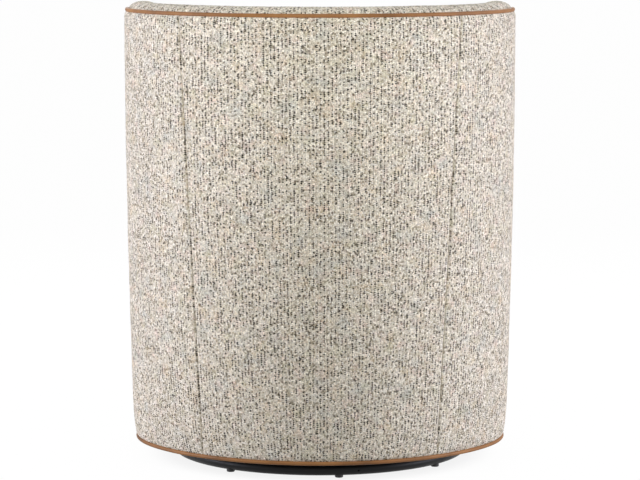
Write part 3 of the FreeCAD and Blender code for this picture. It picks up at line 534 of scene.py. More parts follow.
def tweed():
    """Ribbed tweed: lumpy light yarns in columns, and rows of dark dots between them; the hollows between
    yarns and lumps get painted shade.
    """
    s = Shader("tweed")
    cloth = s.add("UVMap", uv_map="weave").outputs[0]
    place = s.add("SeparateXYZ", {0: cloth}).outputs
    wander = s.add("SeparateXYZ", {0: s.noise(cloth, 150.0, 2.0, colour=True)}).outputs
    rib_wander, dot_wander = 0.36, 0.9
    across = s.math("MULTIPLY_ADD", wander[0], rib_wander, s.math("MULTIPLY", place[0], 1 / rib_pitch))
    along = s.math("MULTIPLY_ADD", wander[1], dot_wander, s.math("MULTIPLY", place[1], 1 / dot_pitch))

    # Two yarns to a rib, each a row of lumps that starts at its own height
    yarns_per_rib, lumps_per_dot, yarn_offset = 2.0, 1.12, 17.0
    yarn, in_yarn = s.cell(s.math("MULTIPLY", across, yarns_per_rib))
    lump, in_lump = s.cell(s.math("MULTIPLY_ADD", s.white(yarn)[0], yarn_offset,
                                  s.math("MULTIPLY", along, lumps_per_dot)))
    hill = s.math("MULTIPLY", s.dome(in_yarn, 3.4), s.dome(in_lump, 3.0))

    # Oval dots of different size on the lines between the ribs
    half_width, half_length, line_offset = 0.245, 0.37, 9.0
    line, from_line = s.cell(s.math("ADD", across, 0.5))
    dot, from_dot = s.cell(s.math("MULTIPLY_ADD", s.white(line, 5.0)[0], line_offset, along))
    dot_random = s.white(line, dot)
    oval = s.math("ADD", s.squared(from_line, half_width), s.squared(from_dot, half_length))
    size = s.math("MULTIPLY_ADD", s.white(dot, line)[0], 0.7, 0.65)
    dot_shape = s.spread(s.math("DIVIDE", oval, size), 1.2, 0.7, smooth=True)

    # Which dots are dark: runs along a line, broken by chance and by broad patches
    run_place = s.vector(s.math("MULTIPLY", line, 3.17), s.math("MULTIPLY", place[1], 42.0))
    darkness = s.vary(s.noise(run_place, 1.0, 1.0), dot_random[0], 0.5)
    darkness = s.vary(darkness, s.noise(cloth, 26.0, 1.0), 0.15)
    strong = s.spread(darkness, 0.52, 0.59, 0.0, 0.88)
    faint = s.spread(darkness, 0.3, 0.5, 0.0, 0.12)
    dark = s.math("MULTIPLY", dot_shape, s.math("ADD", strong, faint))

    # A few larger dark spots
    spots = s.add("TexVoronoi", {"Vector": s.scaled(cloth, (1.0, 0.7, 1.0)), "Scale": 135.0},
                  voronoi_dimensions="2D")
    spot_random = s.add("SeparateXYZ", {0: spots.outputs["Color"]}).outputs
    spot = s.math("MULTIPLY", s.spread(spots.outputs["Distance"], 0.3, 0.16),
                  s.math("LESS_THAN", spot_random[0], 0.09))

    light = s.ramp(s.white(yarn, lump)[0], [(0.0, (140, 131, 110)), (0.1, (180, 171, 149)),
                                            (0.3, (210, 201, 180)), (0.6, (222, 214, 195)),
                                            (1.0, (237, 231, 216))])
    tints = [(31.0, (222, 196, 156)), (22.0, (178, 188, 184)), (44.0, (226, 196, 182)),
             (37.0, (204, 200, 164))]
    for i, (scale, tint) in enumerate(tints):
        moved = s.add("VectorMath", {0: cloth, 1: (0.7 * i, 0.3 * i, 0.0)}).outputs[0]
        field = s.vary(s.noise(moved, scale, 2.0), s.white(lump, yarn)[0], 0.16)
        light = s.mix(s.spread(field, 0.54, 0.76, 0.0, 0.38), light, tint)
    dark_yarn = s.ramp(dot_random[0], [(0.0, (88, 66, 38)), (0.4, (50, 36, 21)), (0.75, (23, 17, 11)),
                                       (1.0, (40, 36, 28))])

    fibres_across, fibres_along = 4.0, 2.2
    fibre = s.white(s.math("FLOOR", s.math("MULTIPLY", across, fibres_across)),
                    s.math("FLOOR", s.math("MULTIPLY", along, fibres_along)))
    # Painted shade: the colour is darkened to 0.76 in the hollows between yarns and between lumps, where
    # shade falls
    colour = s.shaded(light, s.spread(hill, 0.0, 0.7, 0.76, 1.0))
    colour = s.mix(s.math("MULTIPLY", spot, 0.85), colour, dark_yarn)
    colour = s.mix(dark, colour, dark_yarn)
    colour = s.shaded(colour, s.spread(fibre[0], 0.0, 1.0, 0.6, 1.26))

    fuzz = s.noise(cloth, 900.0, 2.0)
    relief = s.math("MULTIPLY_ADD", fuzz, 0.4, s.math("MULTIPLY_ADD", dot_shape, -0.25, hill))
    return s.principled({
        "Base Color": colour, "Roughness": 0.93, "Specular IOR Level": 0.2, "Sheen Weight": 0.1,
        "Sheen Roughness": 0.5, "Normal": s.bump(relief, 0.0008, 0.75)})


def leather():
    """Tan leather over a cord, with a fine pebble grain and rubbed high spots."""
    s = Shader("welt_leather")
    place = s.place()
    pebbles = s.add("TexVoronoi", {"Vector": place, "Scale": 900.0}, feature="SMOOTH_F1")
    pebble = pebbles.outputs["Distance"]
    wrinkle = s.noise(place, 260.0, 3.0, 0.6)
    patch = s.noise(place, 14.0, 3.0)
    colour = s.ramp(patch, [(0.3, (106, 70, 34)), (0.5, (138, 93, 47)), (0.72, (158, 111, 60))])
    colour = s.mix(s.math("MULTIPLY", s.spread(pebble, 0.25, 0.75), 0.4), colour, (84, 50, 22))
    relief = s.math("MULTIPLY_ADD", wrinkle, 0.8, s.math("MULTIPLY", pebble, -0.6))
    return s.principled({
        "Base Color": colour, "Roughness": s.spread(wrinkle, 0.3, 0.7, 0.5, 0.68),
        "Specular IOR Level": 0.35, "Normal": s.bump(relief, 0.00035, 0.6)})


def coated_steel():
    """Black powder coat with a fine orange peel."""
    s = Shader("black_steel")
    place = s.place()
    peel = s.noise(place, 420.0, 2.0)
    dust = s.noise(place, 38.0, 4.0, 0.65)
    colour = s.ramp(dust, [(0.35, (9, 9, 10)), (0.7, (17, 17, 18))])
    return s.principled({
        "Base Color": colour, "Roughness": s.spread(dust, 0.3, 0.7, 0.36, 0.52),
        "Specular IOR Level": 0.2, "Normal": s.bump(peel, 0.0002, 0.5)})


def metal(name, colour, rough, streak):
    """Plated or drawn steel with fine streaks round it and dulled patches."""
    s = Shader(name)
    place = s.place()
    streaks = s.noise(s.scaled(place, (streak, streak, 1400.0)), 1.0, 2.0)
    patch = s.noise(place, 60.0, 3.0)
    dull = tuple(int(c * 0.8) for c in colour)
    return s.principled({
        "Base Color": s.mix(s.spread(patch, 0.35, 0.7), colour, dull), "Metallic": 1.0,
        "Roughness": s.spread(patch, 0.3, 0.7, rough, rough + 0.14),
        "Normal": s.bump(streaks, 0.00006, 0.4)})


def moulded(name, colour, rough, mottle=0.85):
    """Moulded plastic, nylon or rubber with a fine matt texture."""
    s = Shader(name)
    place = s.place()
    texture = s.noise(place, 1500.0, 2.0)
    patch = s.noise(place, 45.0, 3.0)
    worn = tuple(int(c * mottle) for c in colour)
    return s.principled({
        "Base Color": s.mix(s.spread(patch, 0.35, 0.7), colour, worn),
        "Roughness": s.spread(patch, 0.3, 0.7, rough, rough + 0.12),
        "Normal": s.bump(texture, 0.00012, 0.4)})


def wood(name, pale, dark, stretch, layers=0.0):
    """Sawn timber with grain along one axis, or plywood with its layers on the cut edge."""
    s = Shader(name)
    place = s.place()
    grain = s.noise(s.scaled(place, stretch), 1.0, 5.0, 0.62)
    pores = s.noise(s.scaled(place, tuple(6 * c for c in stretch)), 1.0, 2.0)
    colour = s.ramp(grain, [(0.32, dark), (0.5, pale), (0.68, tuple(min(255, c + 14) for c in pale))])
    if layers:
        upright = s.add("SeparateXYZ", {0: place}).outputs[2]
        band = s.math("GREATER_THAN", s.math("FRACT", s.math("MULTIPLY", upright, layers)), 0.5)
        colour = s.mix(s.math("MULTIPLY", band, 0.4), colour, dark)
    return s.principled({
        "Base Color": colour, "Roughness": 0.72,
        "Normal": s.bump(s.math("ADD", grain, pores), 0.0003, 0.5)})


def plain_cloth(name, colour, thread, pitch):
    """Plain woven or bonded cloth of one colour."""
    s = Shader(name)
    place = s.place()
    parts = s.add("SeparateXYZ", {0: place}).outputs
    warp = s.math("SINE", s.math("MULTIPLY", parts[0], 2 * math.pi / pitch))
    weft = s.math("SINE", s.math("MULTIPLY", parts[1], 2 * math.pi / pitch))
    cross = s.math("MULTIPLY", warp, weft)
    slub = s.noise(place, 320.0, 3.0)
    tone = s.math("MULTIPLY_ADD", cross, 0.2, slub)
    return s.principled({
        "Base Color": s.mix(s.spread(tone, 0.2, 0.8), thread, colour), "Roughness": 0.95,
        "Sheen Weight": 0.15, "Normal": s.bump(tone, 0.0004, 0.6)})


materials = {
    "tweed": tweed(),
    "welt_leather": leather(),
    "black_steel": coated_steel(),
    "zinc_steel": metal("zinc_steel", (196, 198, 200), 0.3, 90.0),
    "bearing_steel": metal("bearing_steel", (214, 215, 216), 0.14, 60.0),
    "spring_steel": metal("spring_steel", (92, 92, 94), 0.34, 220.0),
    "black_plastic": moulded("black_plastic", (22, 22, 22), 0.5),
    "nylon": moulded("nylon", (226, 223, 212), 0.42, 0.95),
    "rubber": moulded("rubber", (30, 30, 30), 0.72),
    "hardwood": wood("hardwood", (196, 164, 120), (150, 116, 78), (60.0, 9.0, 60.0)),
    "plywood": wood("plywood", (212, 182, 138), (160, 122, 82), (14.0, 14.0, 240.0), 420.0),
    "deck_cloth": plain_cloth("deck_cloth", (196, 188, 170), (150, 142, 124), 0.0016),
    "dust_cloth": plain_cloth("dust_cloth", (34, 34, 35), (20, 20, 21), 0.0011),
}

slot_of = {p["node"]: p["material_slot"] for p in frame["record"]["subparts"]}


def dress(obj, slot):
    obj.data.materials.clear()
    obj.data.materials.append(materials[slot])


for name, node in frame["nodes"].items():
    dress(node, slot_of[name])


def place_piece(obj, slot, nodes):
    """A piece that rides the chair in place of its nodes."""
    dress(obj, slot)
    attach(obj, "chair")
    if nodes:
        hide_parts(*nodes)
    return obj


# Outside panels

def room_surface(q, z, inset):
    return skin(q, z, -inset, True)


panel_top_drop = welt_drop + 1.2
panel_foot = cover_bottom - 2.0
hands = (("left", 1), ("right", -1))


def middle_grid(half, first, bottom, top, step):
    """Grid across the middle of the body, from first to the other side; half(z) is half its width."""
    shares = [run / abs(first) for run in edged(first, -first, step)]
    grid = []
    for z in edged(bottom, top, step):
        edge = half(z)
        grid.append([(edge * share, z) for share in shares])
    return grid


def back_panel():
    grid = middle_grid(lambda z: seam_q(z) - seam_gap, seam_q(crest_z), panel_foot,
                       crest_z - panel_top_drop, grid_step)
    rolls = (hem_roll, top_roll, seam_roll, seam_roll)
    return panel("back_panel", grid, skin, rolls, waviness=0.7, thickness=panel_back)


# The station halfway round the arm's nose parts the rim edge of a side grid from its front edge
nose_slope = math.radians(52.0)
nose_reach = 60.0
nose_mid = next(i for i, s in enumerate(crest) if s[2] > nose_slope and s[0] > front_q - nose_reach)


def shares_of(length, step):
    return [run / length for run in edged(0.0, length, step)]


def side_grid(side, edge_drop, bottom_z, edge_q, step=grid_step):
    """Grid between a seam, the hem and the rim of one side; edge_q(z) is the seam."""
    side_run = 560.0
    rows_to_columns = 1.15
    rim = [lowered(station, edge_drop) for station in crest]
    top_z = crest_z - edge_drop
    start_q = edge_q(top_z)
    upper = [(start_q, top_z)] + [p for p in rim[:nose_mid + 1] if p[0] > start_q + 1]
    front = [p for p in rim[nose_mid:] if p[1] > bottom_z] + [(rim[-1][0], bottom_z)]
    across = shares_of(side_run, step)
    up = shares_of(crest_z - bottom_z, step * rows_to_columns)
    bottom = [(lerp(edge_q(bottom_z), rim[-1][0], t), bottom_z) for t in across]
    seam = [(edge_q(lerp(bottom_z, top_z, t)), lerp(bottom_z, top_z, t)) for t in up]
    grid = coons(bottom, resample(upper, across), seam, resample(front[::-1], up))
    return grid if side > 0 else [[(-q, z) for q, z in row] for row in grid]


def side_panel(name, side):
    grid = side_grid(side, panel_top_drop, panel_foot, lambda z: seam_q(z) + seam_gap)
    rolls = (hem_roll, top_roll, seam_roll, top_roll)
    return panel(name, grid, skin, rolls, waviness=0.9, thickness=panel_back, shift=(31.0 * side, 17.0),
                 flip=side > 0)


place_piece(back_panel(), "tweed", ["outside_back_panel"])
for hand, side in hands:
    place_piece(side_panel("side_panel_" + hand, side), "tweed", ["outside_arm_" + hand])


# Inside pads

pad_top_drop = band_underside + 0.5


def back_pad():
    grid = middle_grid(lambda z: q_at_x(inside_seam_x - seam_gap, z, True), -inside_seam_x, pad_bottom,
                       crest_z - pad_top_drop, pad_step)
    rolls = (pad_foot_roll, pad_top_roll, pad_seam_roll, pad_seam_roll)
    return panel("inside_back", grid, room_surface, rolls, waviness=1.0, thickness=pad_back, swell=5.0,
                 shift=(9.0, 5.0))


def inside_arm(name, side):
    grid = side_grid(side, pad_top_drop, pad_bottom, lambda z: q_at_x(inside_seam_x + seam_gap, z, True),
                     pad_step)
    rolls = (pad_foot_roll, pad_top_roll, pad_seam_roll, pad_front_roll)
    return panel(name, grid, room_surface, rolls, waviness=1.0, thickness=pad_back, swell=3.0,
                 shift=(13.0 * side, 3.0), flip=side < 0)


place_piece(back_pad(), "tweed", ["inside_back_pad"])
for hand, side in hands:
    place_piece(inside_arm("inside_arm_pad_" + hand, side), "tweed", ["inside_arm_" + hand])


# Rim bands over the back and the arms

def band_profile():
    """(inset, drop) round the cross section, from the foot of the outer side over the crown."""
    outer_drop = 14.5
    room_drop = 11.0
    room_inset = wall_thickness - 0.6
    steps = 10
    points = [(band_outer_inset + 2.5, band_underside), (band_outer_inset + 1.0, 17.0)]
    for i in range(steps + 1):
        angle = math.pi / 2 * (1 - i / steps)
        points.append((band_crown_inset - (band_crown_inset - band_outer_inset) * math.sin(angle),
                       outer_drop - outer_drop * math.cos(angle)))
    for i in range(1, steps + 1):
        angle = math.pi / 2 * i / steps
        points.append((band_crown_inset + (room_inset - band_crown_inset) * math.sin(angle),
                       room_drop - room_drop * math.cos(angle)))
    points.append((room_inset - 0.6, 15.0))
    points.append((room_inset - 3.0, band_underside))
    return points


def rim_band(name, stations, side, weave_shift):
    """Padded band along the stations, pinched in at its two sewn ends."""
    pinch_width, pinch_depth = 5.0, 2.0
    crown_depth = 15.0
    calm_end = 15.0
    waviness, ripple, ripple_rate = 0.5, 0.35, 0.09
    profile = band_profile()
    sections = []
    along = path_lengths([station[:2] for station in stations])
    for k, station in enumerate(stations):
        from_end = min(along[k], along[-1] - along[k])
        pinch = edge_roll(from_end, pinch_width, pinch_depth)
        ring = []
        for inset, drop in profile:
            q, z = lowered(station, drop + pinch)
            p = skin(q * side, z, inset)
            wave = uneven(p, waviness) + ripple * noise.noise(p * ripple_rate)
            free = max(0.0, 1 - drop / crown_depth) * min(1.0, from_end / calm_end)
            q, z = lowered(station, drop + pinch - wave * free)
            ring.append(skin(q * side, z, inset))
        sections.append(ring)
    lengths = [length + weave_shift for length in along]
    if side > 0:
        sections.reverse()
        lengths.reverse()
    return sweep(name, sections, lengths, path_lengths(profile))


def band_stations():
    """Stations of an arm's band, from its seam on, and of the back's band between the two seams."""
    seam = q_at_x(seam_x_top, crest_z)
    arm = [(seam + seam_gap, crest_z, 0.0)] + [s for s in crest if s[0] > seam + 2]
    back = [(q, crest_z, 0.0) for q in spaced(-seam + seam_gap, seam - seam_gap)]
    return arm, back


arm_stations, back_stations = band_stations()
place_piece(rim_band("top_band", back_stations, 1, 0.0), "tweed", ["rim_band_back"])
place_piece(rim_band("arm_band_left", arm_stations, 1, 41.0), "tweed", ["rim_band_left"])
place_piece(rim_band("arm_band_right", arm_stations, -1, 57.0), "tweed", ["rim_band_right"])


# Leather welts

def outer_welt_path():
    half = [lowered(station, welt_drop) for station in crest if station[1] > cover_bottom]
    full = [(-q, z) for q, z in half[:0:-1]] + half
    return [skin(q, z, welt_inset) for q, z in full]


def hermite(start, start_way, end, end_way, count):
    """Inner points of a smooth curve between two ends with their directions."""
    reach = (end - start).length
    points = []
    for i in range(1, count):
        t = i / count
        a = 2 * t**3 - 3 * t**2 + 1
        b = t**3 - 2 * t**2 + t
        c = 3 * t**2 - 2 * t**3
        d = t**3 - t**2
        points.append(start * a + start_way * (b * reach) + end * c + end_way * (d * reach))
    return points


def ring_path(surface, end_q, bow_x, front_y, bow, z, step=grid_step):
    """Closed plan: barrel from the back middle to end_q, a rounded corner and the bowed front."""
    barrel = [surface(q, z) for q in spaced(0.0, end_q, step)]
    side_way = (barrel[-1] - barrel[-2]).normalized()
    centre_y = bow - front_y
    bow_end = Vector((bow_x, centre_y - math.sqrt(bow**2 - bow_x**2), z))
    bow_way = Vector((bow_end.y - centre_y, -bow_x, 0)).normalized()
    corner = hermite(barrel[-1], side_way, bow_end, bow_way, count=9)
    front = [Vector((x, centre_y - math.sqrt(bow**2 - x**2), z)) for x in spaced(bow_x, 0.0, step)]
    half = barrel + corner + front
    return half + [Vector((-p.x, p.y, p.z)) for p in half[-2:0:-1]]


def hem_path():
    hem_inset, bow_inset = 2.7, 2.5
    corner_run, corner_width = 28.0, 22.0
    end_q = front_q - corner_run
    bow_x = skin(end_q, hem_z, hem_inset).x - corner_width
    return ring_path(lambda q, z: skin(q, z, hem_inset), end_q, bow_x, apron_front - bow_inset,
                     bow_radius - bow_inset, hem_z)


place_piece(tube("rim_welt", outer_welt_path(), welt_radius), "welt_leather", ["outer_welt"])
place_piece(tube("foot_welt", hem_path(), welt_radius, closed=True), "welt_leather", ["hem_welt"])


# Front apron

def apron_surface(x, z, inset):
    bow = bow_radius - inset
    return Vector((x, bow_radius - apron_front - math.sqrt(bow**2 - x**2), z))


def apron():
    half_run = 250.0
    side_gap = 0.8
    foot_roll, head_roll, side_roll = (9.0, 4.0), (9.0, 6.0), (9.0, 5.0)
    grid = middle_grid(lambda z: skin(front_q, z, wall_thickness).x - side_gap, -half_run, panel_foot,
                       apron_top, pad_step)
    rolls = (foot_roll, head_roll, side_roll, side_roll)
    return panel("apron", grid, apron_surface, rolls, waviness=0.9, thickness=13.0, swell=3.0,
                 shift=(5.0, 11.0))


place_piece(apron(), "tweed", ["front_apron"])


# Seat cushion

def cushion_ring(z, inset):
    """Closed plan of the cushion at height z, drawn in by inset."""
    wall_gap, corner_width, front_reach = 4.0, 30.0, 318.0
    end_q = side_start + corner_y + front_reach

    def surface(q, level):
        return Vector((*skin(q, cushion_bottom, wall_gap + inset, True).xy, level))

    bow_x = surface(end_q, z).x - corner_width
    return ring_path(surface, end_q, bow_x, cushion_front - inset, bow_radius - inset, z, cushion_step)


def cushion_mesh():
    """Boxed cushion before it is filled: slightly slack boxing, by height and inset, and a low crown."""
    levels = [(cushion_bottom, 6.0), (cushion_welt_bottom, 1.0), (345.0, 5.0), (377.0, 6.5), (409.0, 5.0),
              (cushion_welt_top, 1.0)]
    crown_rings = 12
    slack_crown = cushion_crown - 8
    fullness, softness = 2.4, 0.8
    rings = [cushion_ring(z, inset) for z, inset in levels]
    centre = sum(rings[-1], Vector()) / len(rings[-1])
    points = [p for ring in rings for p in ring]
    count = len(rings[0])
    for k in range(1, crown_rings + 1):
        share = k / (crown_rings + 1)
        rise = (slack_crown - cushion_welt_top) * (1 - (1 - share) ** fullness) ** softness
        for p in rings[-1]:
            q = centre + (p - centre) * (1 - share)
            points.append(Vector((q.x, q.y, cushion_welt_top + rise)))
    rows = len(levels) + crown_rings
    faces = grid_faces(rows, count, wrap=True)
    points.append(Vector((centre.x, centre.y, slack_crown)))
    last = (rows - 1) * count
    faces += [(last + j, last + (j + 1) % count, len(points) - 1) for j in range(count)]
    faces.append(tuple(reversed(range(count))))
    return make_object("seat_pad", points, faces)


def evaluated_mesh(obj):
    bpy.context.view_layer.update()
    return bpy.data.meshes.new_from_object(obj.evaluated_get(bpy.context.evaluated_depsgraph_get()))


def swap_mesh(obj, mesh):
    old = obj.data
    obj.modifiers.clear()
    obj.data = mesh
    bpy.data.meshes.remove(old)


def remesh(obj, size):
    modifier = obj.modifiers.new("remesh", "REMESH")
    modifier.mode = "VOXEL"
    modifier.voxel_size = size
    modifier.use_smooth_shade = True
    swap_mesh(obj, evaluated_mesh(obj))


def fill(obj, pinned, limit, frames=20, pressure=4.0):
    """Cloth under inner pressure; pinned(p) holds a point, and limit(p, move) caps its move."""
    start = [v.co.copy() for v in obj.data.vertices]
    group = obj.vertex_groups.new(name="held")
    for i, p in enumerate(start):
        weight = pinned(p)
        if weight > 0:
            group.add([i], weight, "REPLACE")
    modifier = obj.modifiers.new("cloth", "CLOTH")
    modifier.settings.use_pressure = True
    modifier.settings.uniform_pressure_force = pressure
    modifier.settings.effector_weights.gravity = 0.0
    modifier.settings.vertex_group_mass = "held"
    modifier.settings.quality = 5
    modifier.point_cache.frame_start = 1
    modifier.point_cache.frame_end = frames
    scene = bpy.context.scene
    for number in range(1, frames + 1):
        scene.frame_set(number)
    mesh = evaluated_mesh(obj)
    for vertex, p in zip(mesh.vertices, start):
        vertex.co = p + limit(p, vertex.co - p)
    swap_mesh(obj, mesh)
    scene.frame_set(1)


def cushion_held(p):
    """Weight that holds the boxing at its two welts; the crown above them is free."""
    held_reach = 0.004
    crown_start = cushion_welt_top + 3
    from_welt = min(abs(p.z - height(z)) for z in (cushion_welt_bottom, cushion_welt_top))
    return 1.0 - min(1.0, from_welt / held_reach) if p.z < height(crown_start) else 0.0


def cushion_limit(p, move):
    """The move cut to what the filling gives, in metres; the bottom stays flat on the deck."""
    side_cap, top_cap, dip_cap = 0.0032, 0.024, 0.004
    flat_top = cushion_bottom + 4
    flat = Vector((move.x, move.y, 0))
    if flat.length > side_cap:
        flat *= side_cap / flat.length
    rise = max(-dip_cap, min(top_cap, move.z))
    if p.z < height(flat_top):
        rise = 0.0
    return flat + Vector((0, 0, rise))


def weave_by_side(obj):
    """Cloth coordinates of a box-like cushion: ribs run front to back on top and upright on the sides."""
    mesh = obj.data
    top_facing = 0.6
    layer = mesh.uv_layers.new(name="weave")
    for face in mesh.polygons:
        n = face.normal
        for index in face.loop_indices:
            p = mesh.vertices[mesh.loops[index].vertex_index].co
            if abs(n.z) > top_facing:
                place = p.x, p.y
            elif abs(n.y) > abs(n.x):
                place = p.x + rib_pitch / 2, p.z
            else:
                place = p.y, p.z
            layer.data[index].uv = place


seat_pad = cushion_mesh()
remesh(seat_pad, 0.006)
fill(seat_pad, cushion_held, cushion_limit)
weave_by_side(seat_pad)
seat_pad.data.shade_smooth()
smooth = seat_pad.modifiers.new("smooth", "SUBSURF")
smooth.levels = smooth.render_levels = 1
place_piece(seat_pad, "tweed", ["seat_cushion"])

for name, z, nodes in (("cushion_welt_lower", cushion_welt_bottom, ["cushion_welts"]),
                       ("cushion_welt_upper", cushion_welt_top, [])):
    cord = tube(name, cushion_ring(z, inset=0.5), cushion_welt_radius, closed=True, sides=12)
    place_piece(cord, "welt_leather", nodes)


# Seat deck and dust cover

def deck():
    """Flat padded deck under the cushion, by height and inset, cut back behind the apron."""
    levels = [(280.0, 6.0), (283.0, 3.0), (292.0, 2.0), (300.0, 3.0), (303.0, 6.0)]
    plan_inset, apron_gap = 4.0, 14.5
    top_rings, ripple = 8, 0.5
    rings = [cushion_ring(z, inset) for z, inset in levels]
    behind = bow_radius - apron_gap
    centre_y = bow_radius - apron_front
    for ring in rings:
        for p in ring:
            p.y = max(p.y, centre_y - math.sqrt(behind**2 - p.x**2))
    plan_ring = cushion_ring(levels[0][0], plan_inset)
    centre = sum(plan_ring, Vector()) / len(plan_ring)
    points = [p for ring in rings for p in ring]
    for k in range(1, top_rings + 1):
        for p in rings[-1]:
            q = centre + (p - centre) * (1 - k / (top_rings + 1))
            points.append(Vector((q.x, q.y, levels[-1][0] + ripple * math.sin(k))))
    count = len(rings[0])
    rows = len(levels) + top_rings
    faces = grid_faces(rows, count, wrap=True)
    faces.append(tuple(reversed(range(count))))
    faces.append(tuple((rows - 1) * count + j for j in range(count)))
    return make_object("deck_pad", points, faces)


place_piece(deck(), "deck_cloth", ["seat_deck"])

window_radius = 168.0
dust_z = 68.7
dust_inset = 31.0
dust_front_y = -299.5
dust_thickness = 0.5
dust_sag = 1.6


def dust_outline():
    """Outer edge of the dust cover: the barrel inside the body, and straight along the front."""
    reach = side_start + 344.0
    edge = [skin(q, dust_z, dust_inset) for q in spaced(-reach, reach, 9.0)]
    edge = [p for p in edge if p.y > dust_front_y]
    front = [Vector((x, dust_front_y, dust_z)) for x in spaced(edge[-1].x, edge[0].x, 12.0)]
    return (edge + front[1:-1])[::-1]


def dust_sheet():
    """Thin cloth with a round window for the mechanism and a slight sag, and the area of one side."""
    outline = dust_outline()
    rows = 16
    steady, varied, vary_rate = 0.6, 0.4, 0.02
    levels = []
    for k in range(rows + 1):
        share = k / rows
        ring = []
        for p in outline:
            way = Vector((p.x, p.y, 0))
            q = (way.normalized() * window_radius).lerp(way, share)
            sag = dust_sag * math.sin(math.pi * share) * (steady + varied * noise.noise(q * vary_rate))
            ring.append(Vector((q.x, q.y, dust_z - sag)))
        levels.append(ring)
    count = len(outline)
    points = [p for ring in levels for p in ring]
    points += [p + Vector((0, 0, dust_thickness)) for p in points]
    shift = (rows + 1) * count
    faces = grid_faces(rows + 1, count, wrap=True)
    faces += grid_faces(rows + 1, count, shift, flip=True, wrap=True)
    for j in range(count):
        k = (j + 1) % count
        faces.append((j, j + shift, k + shift, k))
        a, b = rows * count + j, rows * count + k
        faces.append((a, b, b + shift, a + shift))
    sheet = make_object("under_cloth", points, faces)
    return sheet, sum(face.area for face in sheet.data.polygons[:rows * count])


under_cloth, cloth_area = dust_sheet()
place_piece(under_cloth, "dust_cloth", ["dust_cover"])


# Rocker springs, coiled between the swivel and the chair

spring_wire = 2.5
spring_coil = 17.0
spring_turns = 7
closed_pitch = 5.6
turn_steps = 24


def spring(name, node):
    corners = [[c / MM for c in corner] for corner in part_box(node)]
    x, y = ((a + b) / 2 for a, b in zip(*[corner[:2] for corner in corners]))
    low = corners[0][2] + floor_level + spring_wire
    high = corners[1][2] + floor_level - spring_wire
    open_pitch = (high - low - 2 * closed_pitch) / (spring_turns - 2)
    path = []
    for i in range(turn_steps * spring_turns + 1):
        turn = i / turn_steps
        rise = closed_pitch * min(turn, 1.0) + open_pitch * min(max(turn - 1, 0.0), spring_turns - 2)
        rise += closed_pitch * max(0.0, turn - spring_turns + 1)
        angle = 2 * math.pi * turn
        path.append(Vector((x + spring_coil * math.cos(angle), y + spring_coil * math.sin(angle),
                            low + rise)))
    coil = tube(name, path, spring_wire, sides=10, waviness=0.0)
    dress(coil, "spring_steel")
    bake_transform(coil)
    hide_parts(node)


for corner in ("front_left", "front_right", "rear_left", "rear_right"):
    spring("spring_" + corner, "rocker_spring_" + corner)


# Stage

def area_light(name, place, target, size, power, colour=(1.0, 1.0, 1.0)):
    light = bpy.data.lights.new(name, "AREA")
    light.shape = "RECTANGLE"
    light.size, light.size_y = size
    light.energy = power
    light.color = colour
    obj = bpy.data.objects.new(name, light)
    obj.location = place
    obj.rotation_euler = (Vector(target) - Vector(place)).to_track_quat("-Z", "Y").to_euler()
    obj.visible_camera = False
    bpy.context.scene.collection.objects.link(obj)


def seen_ray(tree):
    """1 for rays that show the background: camera, glossy and transmission rays."""
    path = tree.nodes.new("ShaderNodeLightPath")
    seen = path.outputs["Is Camera Ray"]
    for kind in ("Is Glossy Ray", "Is Transmission Ray"):
        larger = tree.nodes.new("ShaderNodeMath")
        larger.operation = "MAXIMUM"
        tree.links.new(seen, larger.inputs[0])
        tree.links.new(path.outputs[kind], larger.inputs[1])
        seen = larger.outputs[0]
    return seen


def studio_world(ambient):
    """White where it is seen, and dimmer as a light."""
    world = bpy.data.worlds.new("studio")
    world.use_nodes = True
    tree = world.node_tree
    tree.nodes.clear()
    output = tree.nodes.new("ShaderNodeOutputWorld")
    mix = tree.nodes.new("ShaderNodeMixShader")
    tree.links.new(seen_ray(tree), mix.inputs[0])
    for place, strength in ((1, ambient), (2, 1.0)):
        sky = tree.nodes.new("ShaderNodeBackground")
        sky.inputs[0].default_value = (1.0, 1.0, 1.0, 1.0)
        sky.inputs[1].default_value = strength
        tree.links.new(sky.outputs[0], mix.inputs[place])
    tree.links.new(mix.outputs[0], output.inputs[0])
    bpy.context.scene.world = world


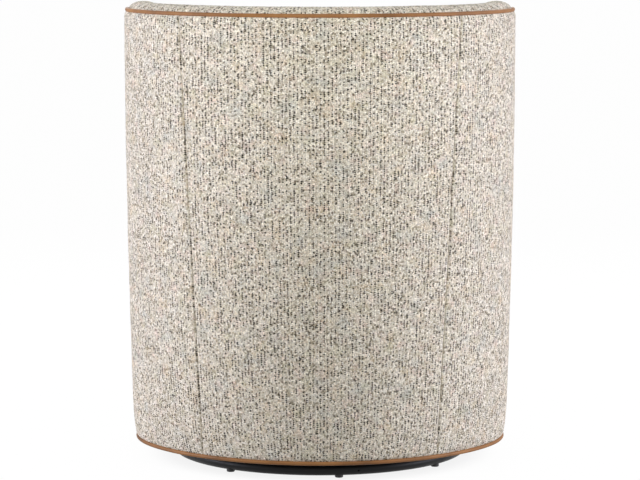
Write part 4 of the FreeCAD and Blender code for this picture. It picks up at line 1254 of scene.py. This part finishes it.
def studio_floor():
    """White floor that keeps its shadow near the chair and runs into the white background. It throws
    back less light than it shows, and it glows less in the shadow of the ring."""
    half = 60.0
    lit, shown = (178, 178, 178), (249, 249, 249)
    shadow_radius, clear_radius = 0.275, 0.34
    shadow_glow, clear_glow = 0.86, 0.98
    mesh = bpy.data.meshes.new("floor")
    mesh.from_pydata([(-half, -half, 0), (half, -half, 0), (half, half, 0), (-half, half, 0)], [],
                     [(0, 1, 2, 3)])
    floor = bpy.data.objects.new("floor", mesh)
    bpy.context.scene.collection.objects.link(floor)
    s = Shader("floor")
    place = s.place()
    distance = s.add("VectorMath", {0: place}, operation="LENGTH").outputs["Value"]
    seen = seen_ray(s.tree)
    paper = s.add("BsdfDiffuse", {"Color": s.mix(seen, lit, shown)})
    glow = s.add("Emission", {"Color": (1.0, 1.0, 1.0, 1.0), "Strength": 1.0})
    share = s.spread(distance, shadow_radius, clear_radius, shadow_glow, clear_glow, smooth=True)
    mix = s.add("MixShader", {0: s.math("MULTIPLY", seen, share), 1: paper.outputs[0], 2: glow.outputs[0]})
    s.tree.links.new(mix.outputs[0], s.output.inputs[0])
    mesh.materials.append(s.material)


def camera(place, tilt, lens):
    """Camera behind the chair, tilted down by tilt degrees."""
    data = bpy.data.cameras.new("camera")
    data.lens = lens
    data.sensor_width = 36.0
    data.clip_end = 200.0
    obj = bpy.data.objects.new("camera", data)
    obj.location = place
    obj.rotation_euler = (math.radians(90.0 - tilt), 0.0, math.radians(180.0))
    bpy.context.scene.collection.objects.link(obj)
    bpy.context.scene.camera = obj


studio_world(ambient=0.45)
studio_floor()
cool = (0.985, 0.97, 1.125)
for name, x in (("side_light_left", 2.5), ("side_light_right", -2.5)):
    area_light(name, (x, 0.55, 0.7), target=(0.0, 0.0, 0.4), size=(1.0, 1.6), power=55.5, colour=cool)
area_light("back_light", (0.0, 1.2, 1.05), target=(0.0, 0.38, 0.65), size=(0.6, 0.3), power=5.2)
area_light("front_light", (0.0, -2.4, 2.2), target=(0.0, 0.0, 0.5), size=(2.4, 1.6), power=60.0)
camera((0.0, 5.5, 1.0472), tilt=6.69, lens=164.9)
bpy.context.scene.view_settings.view_transform = "Standard"
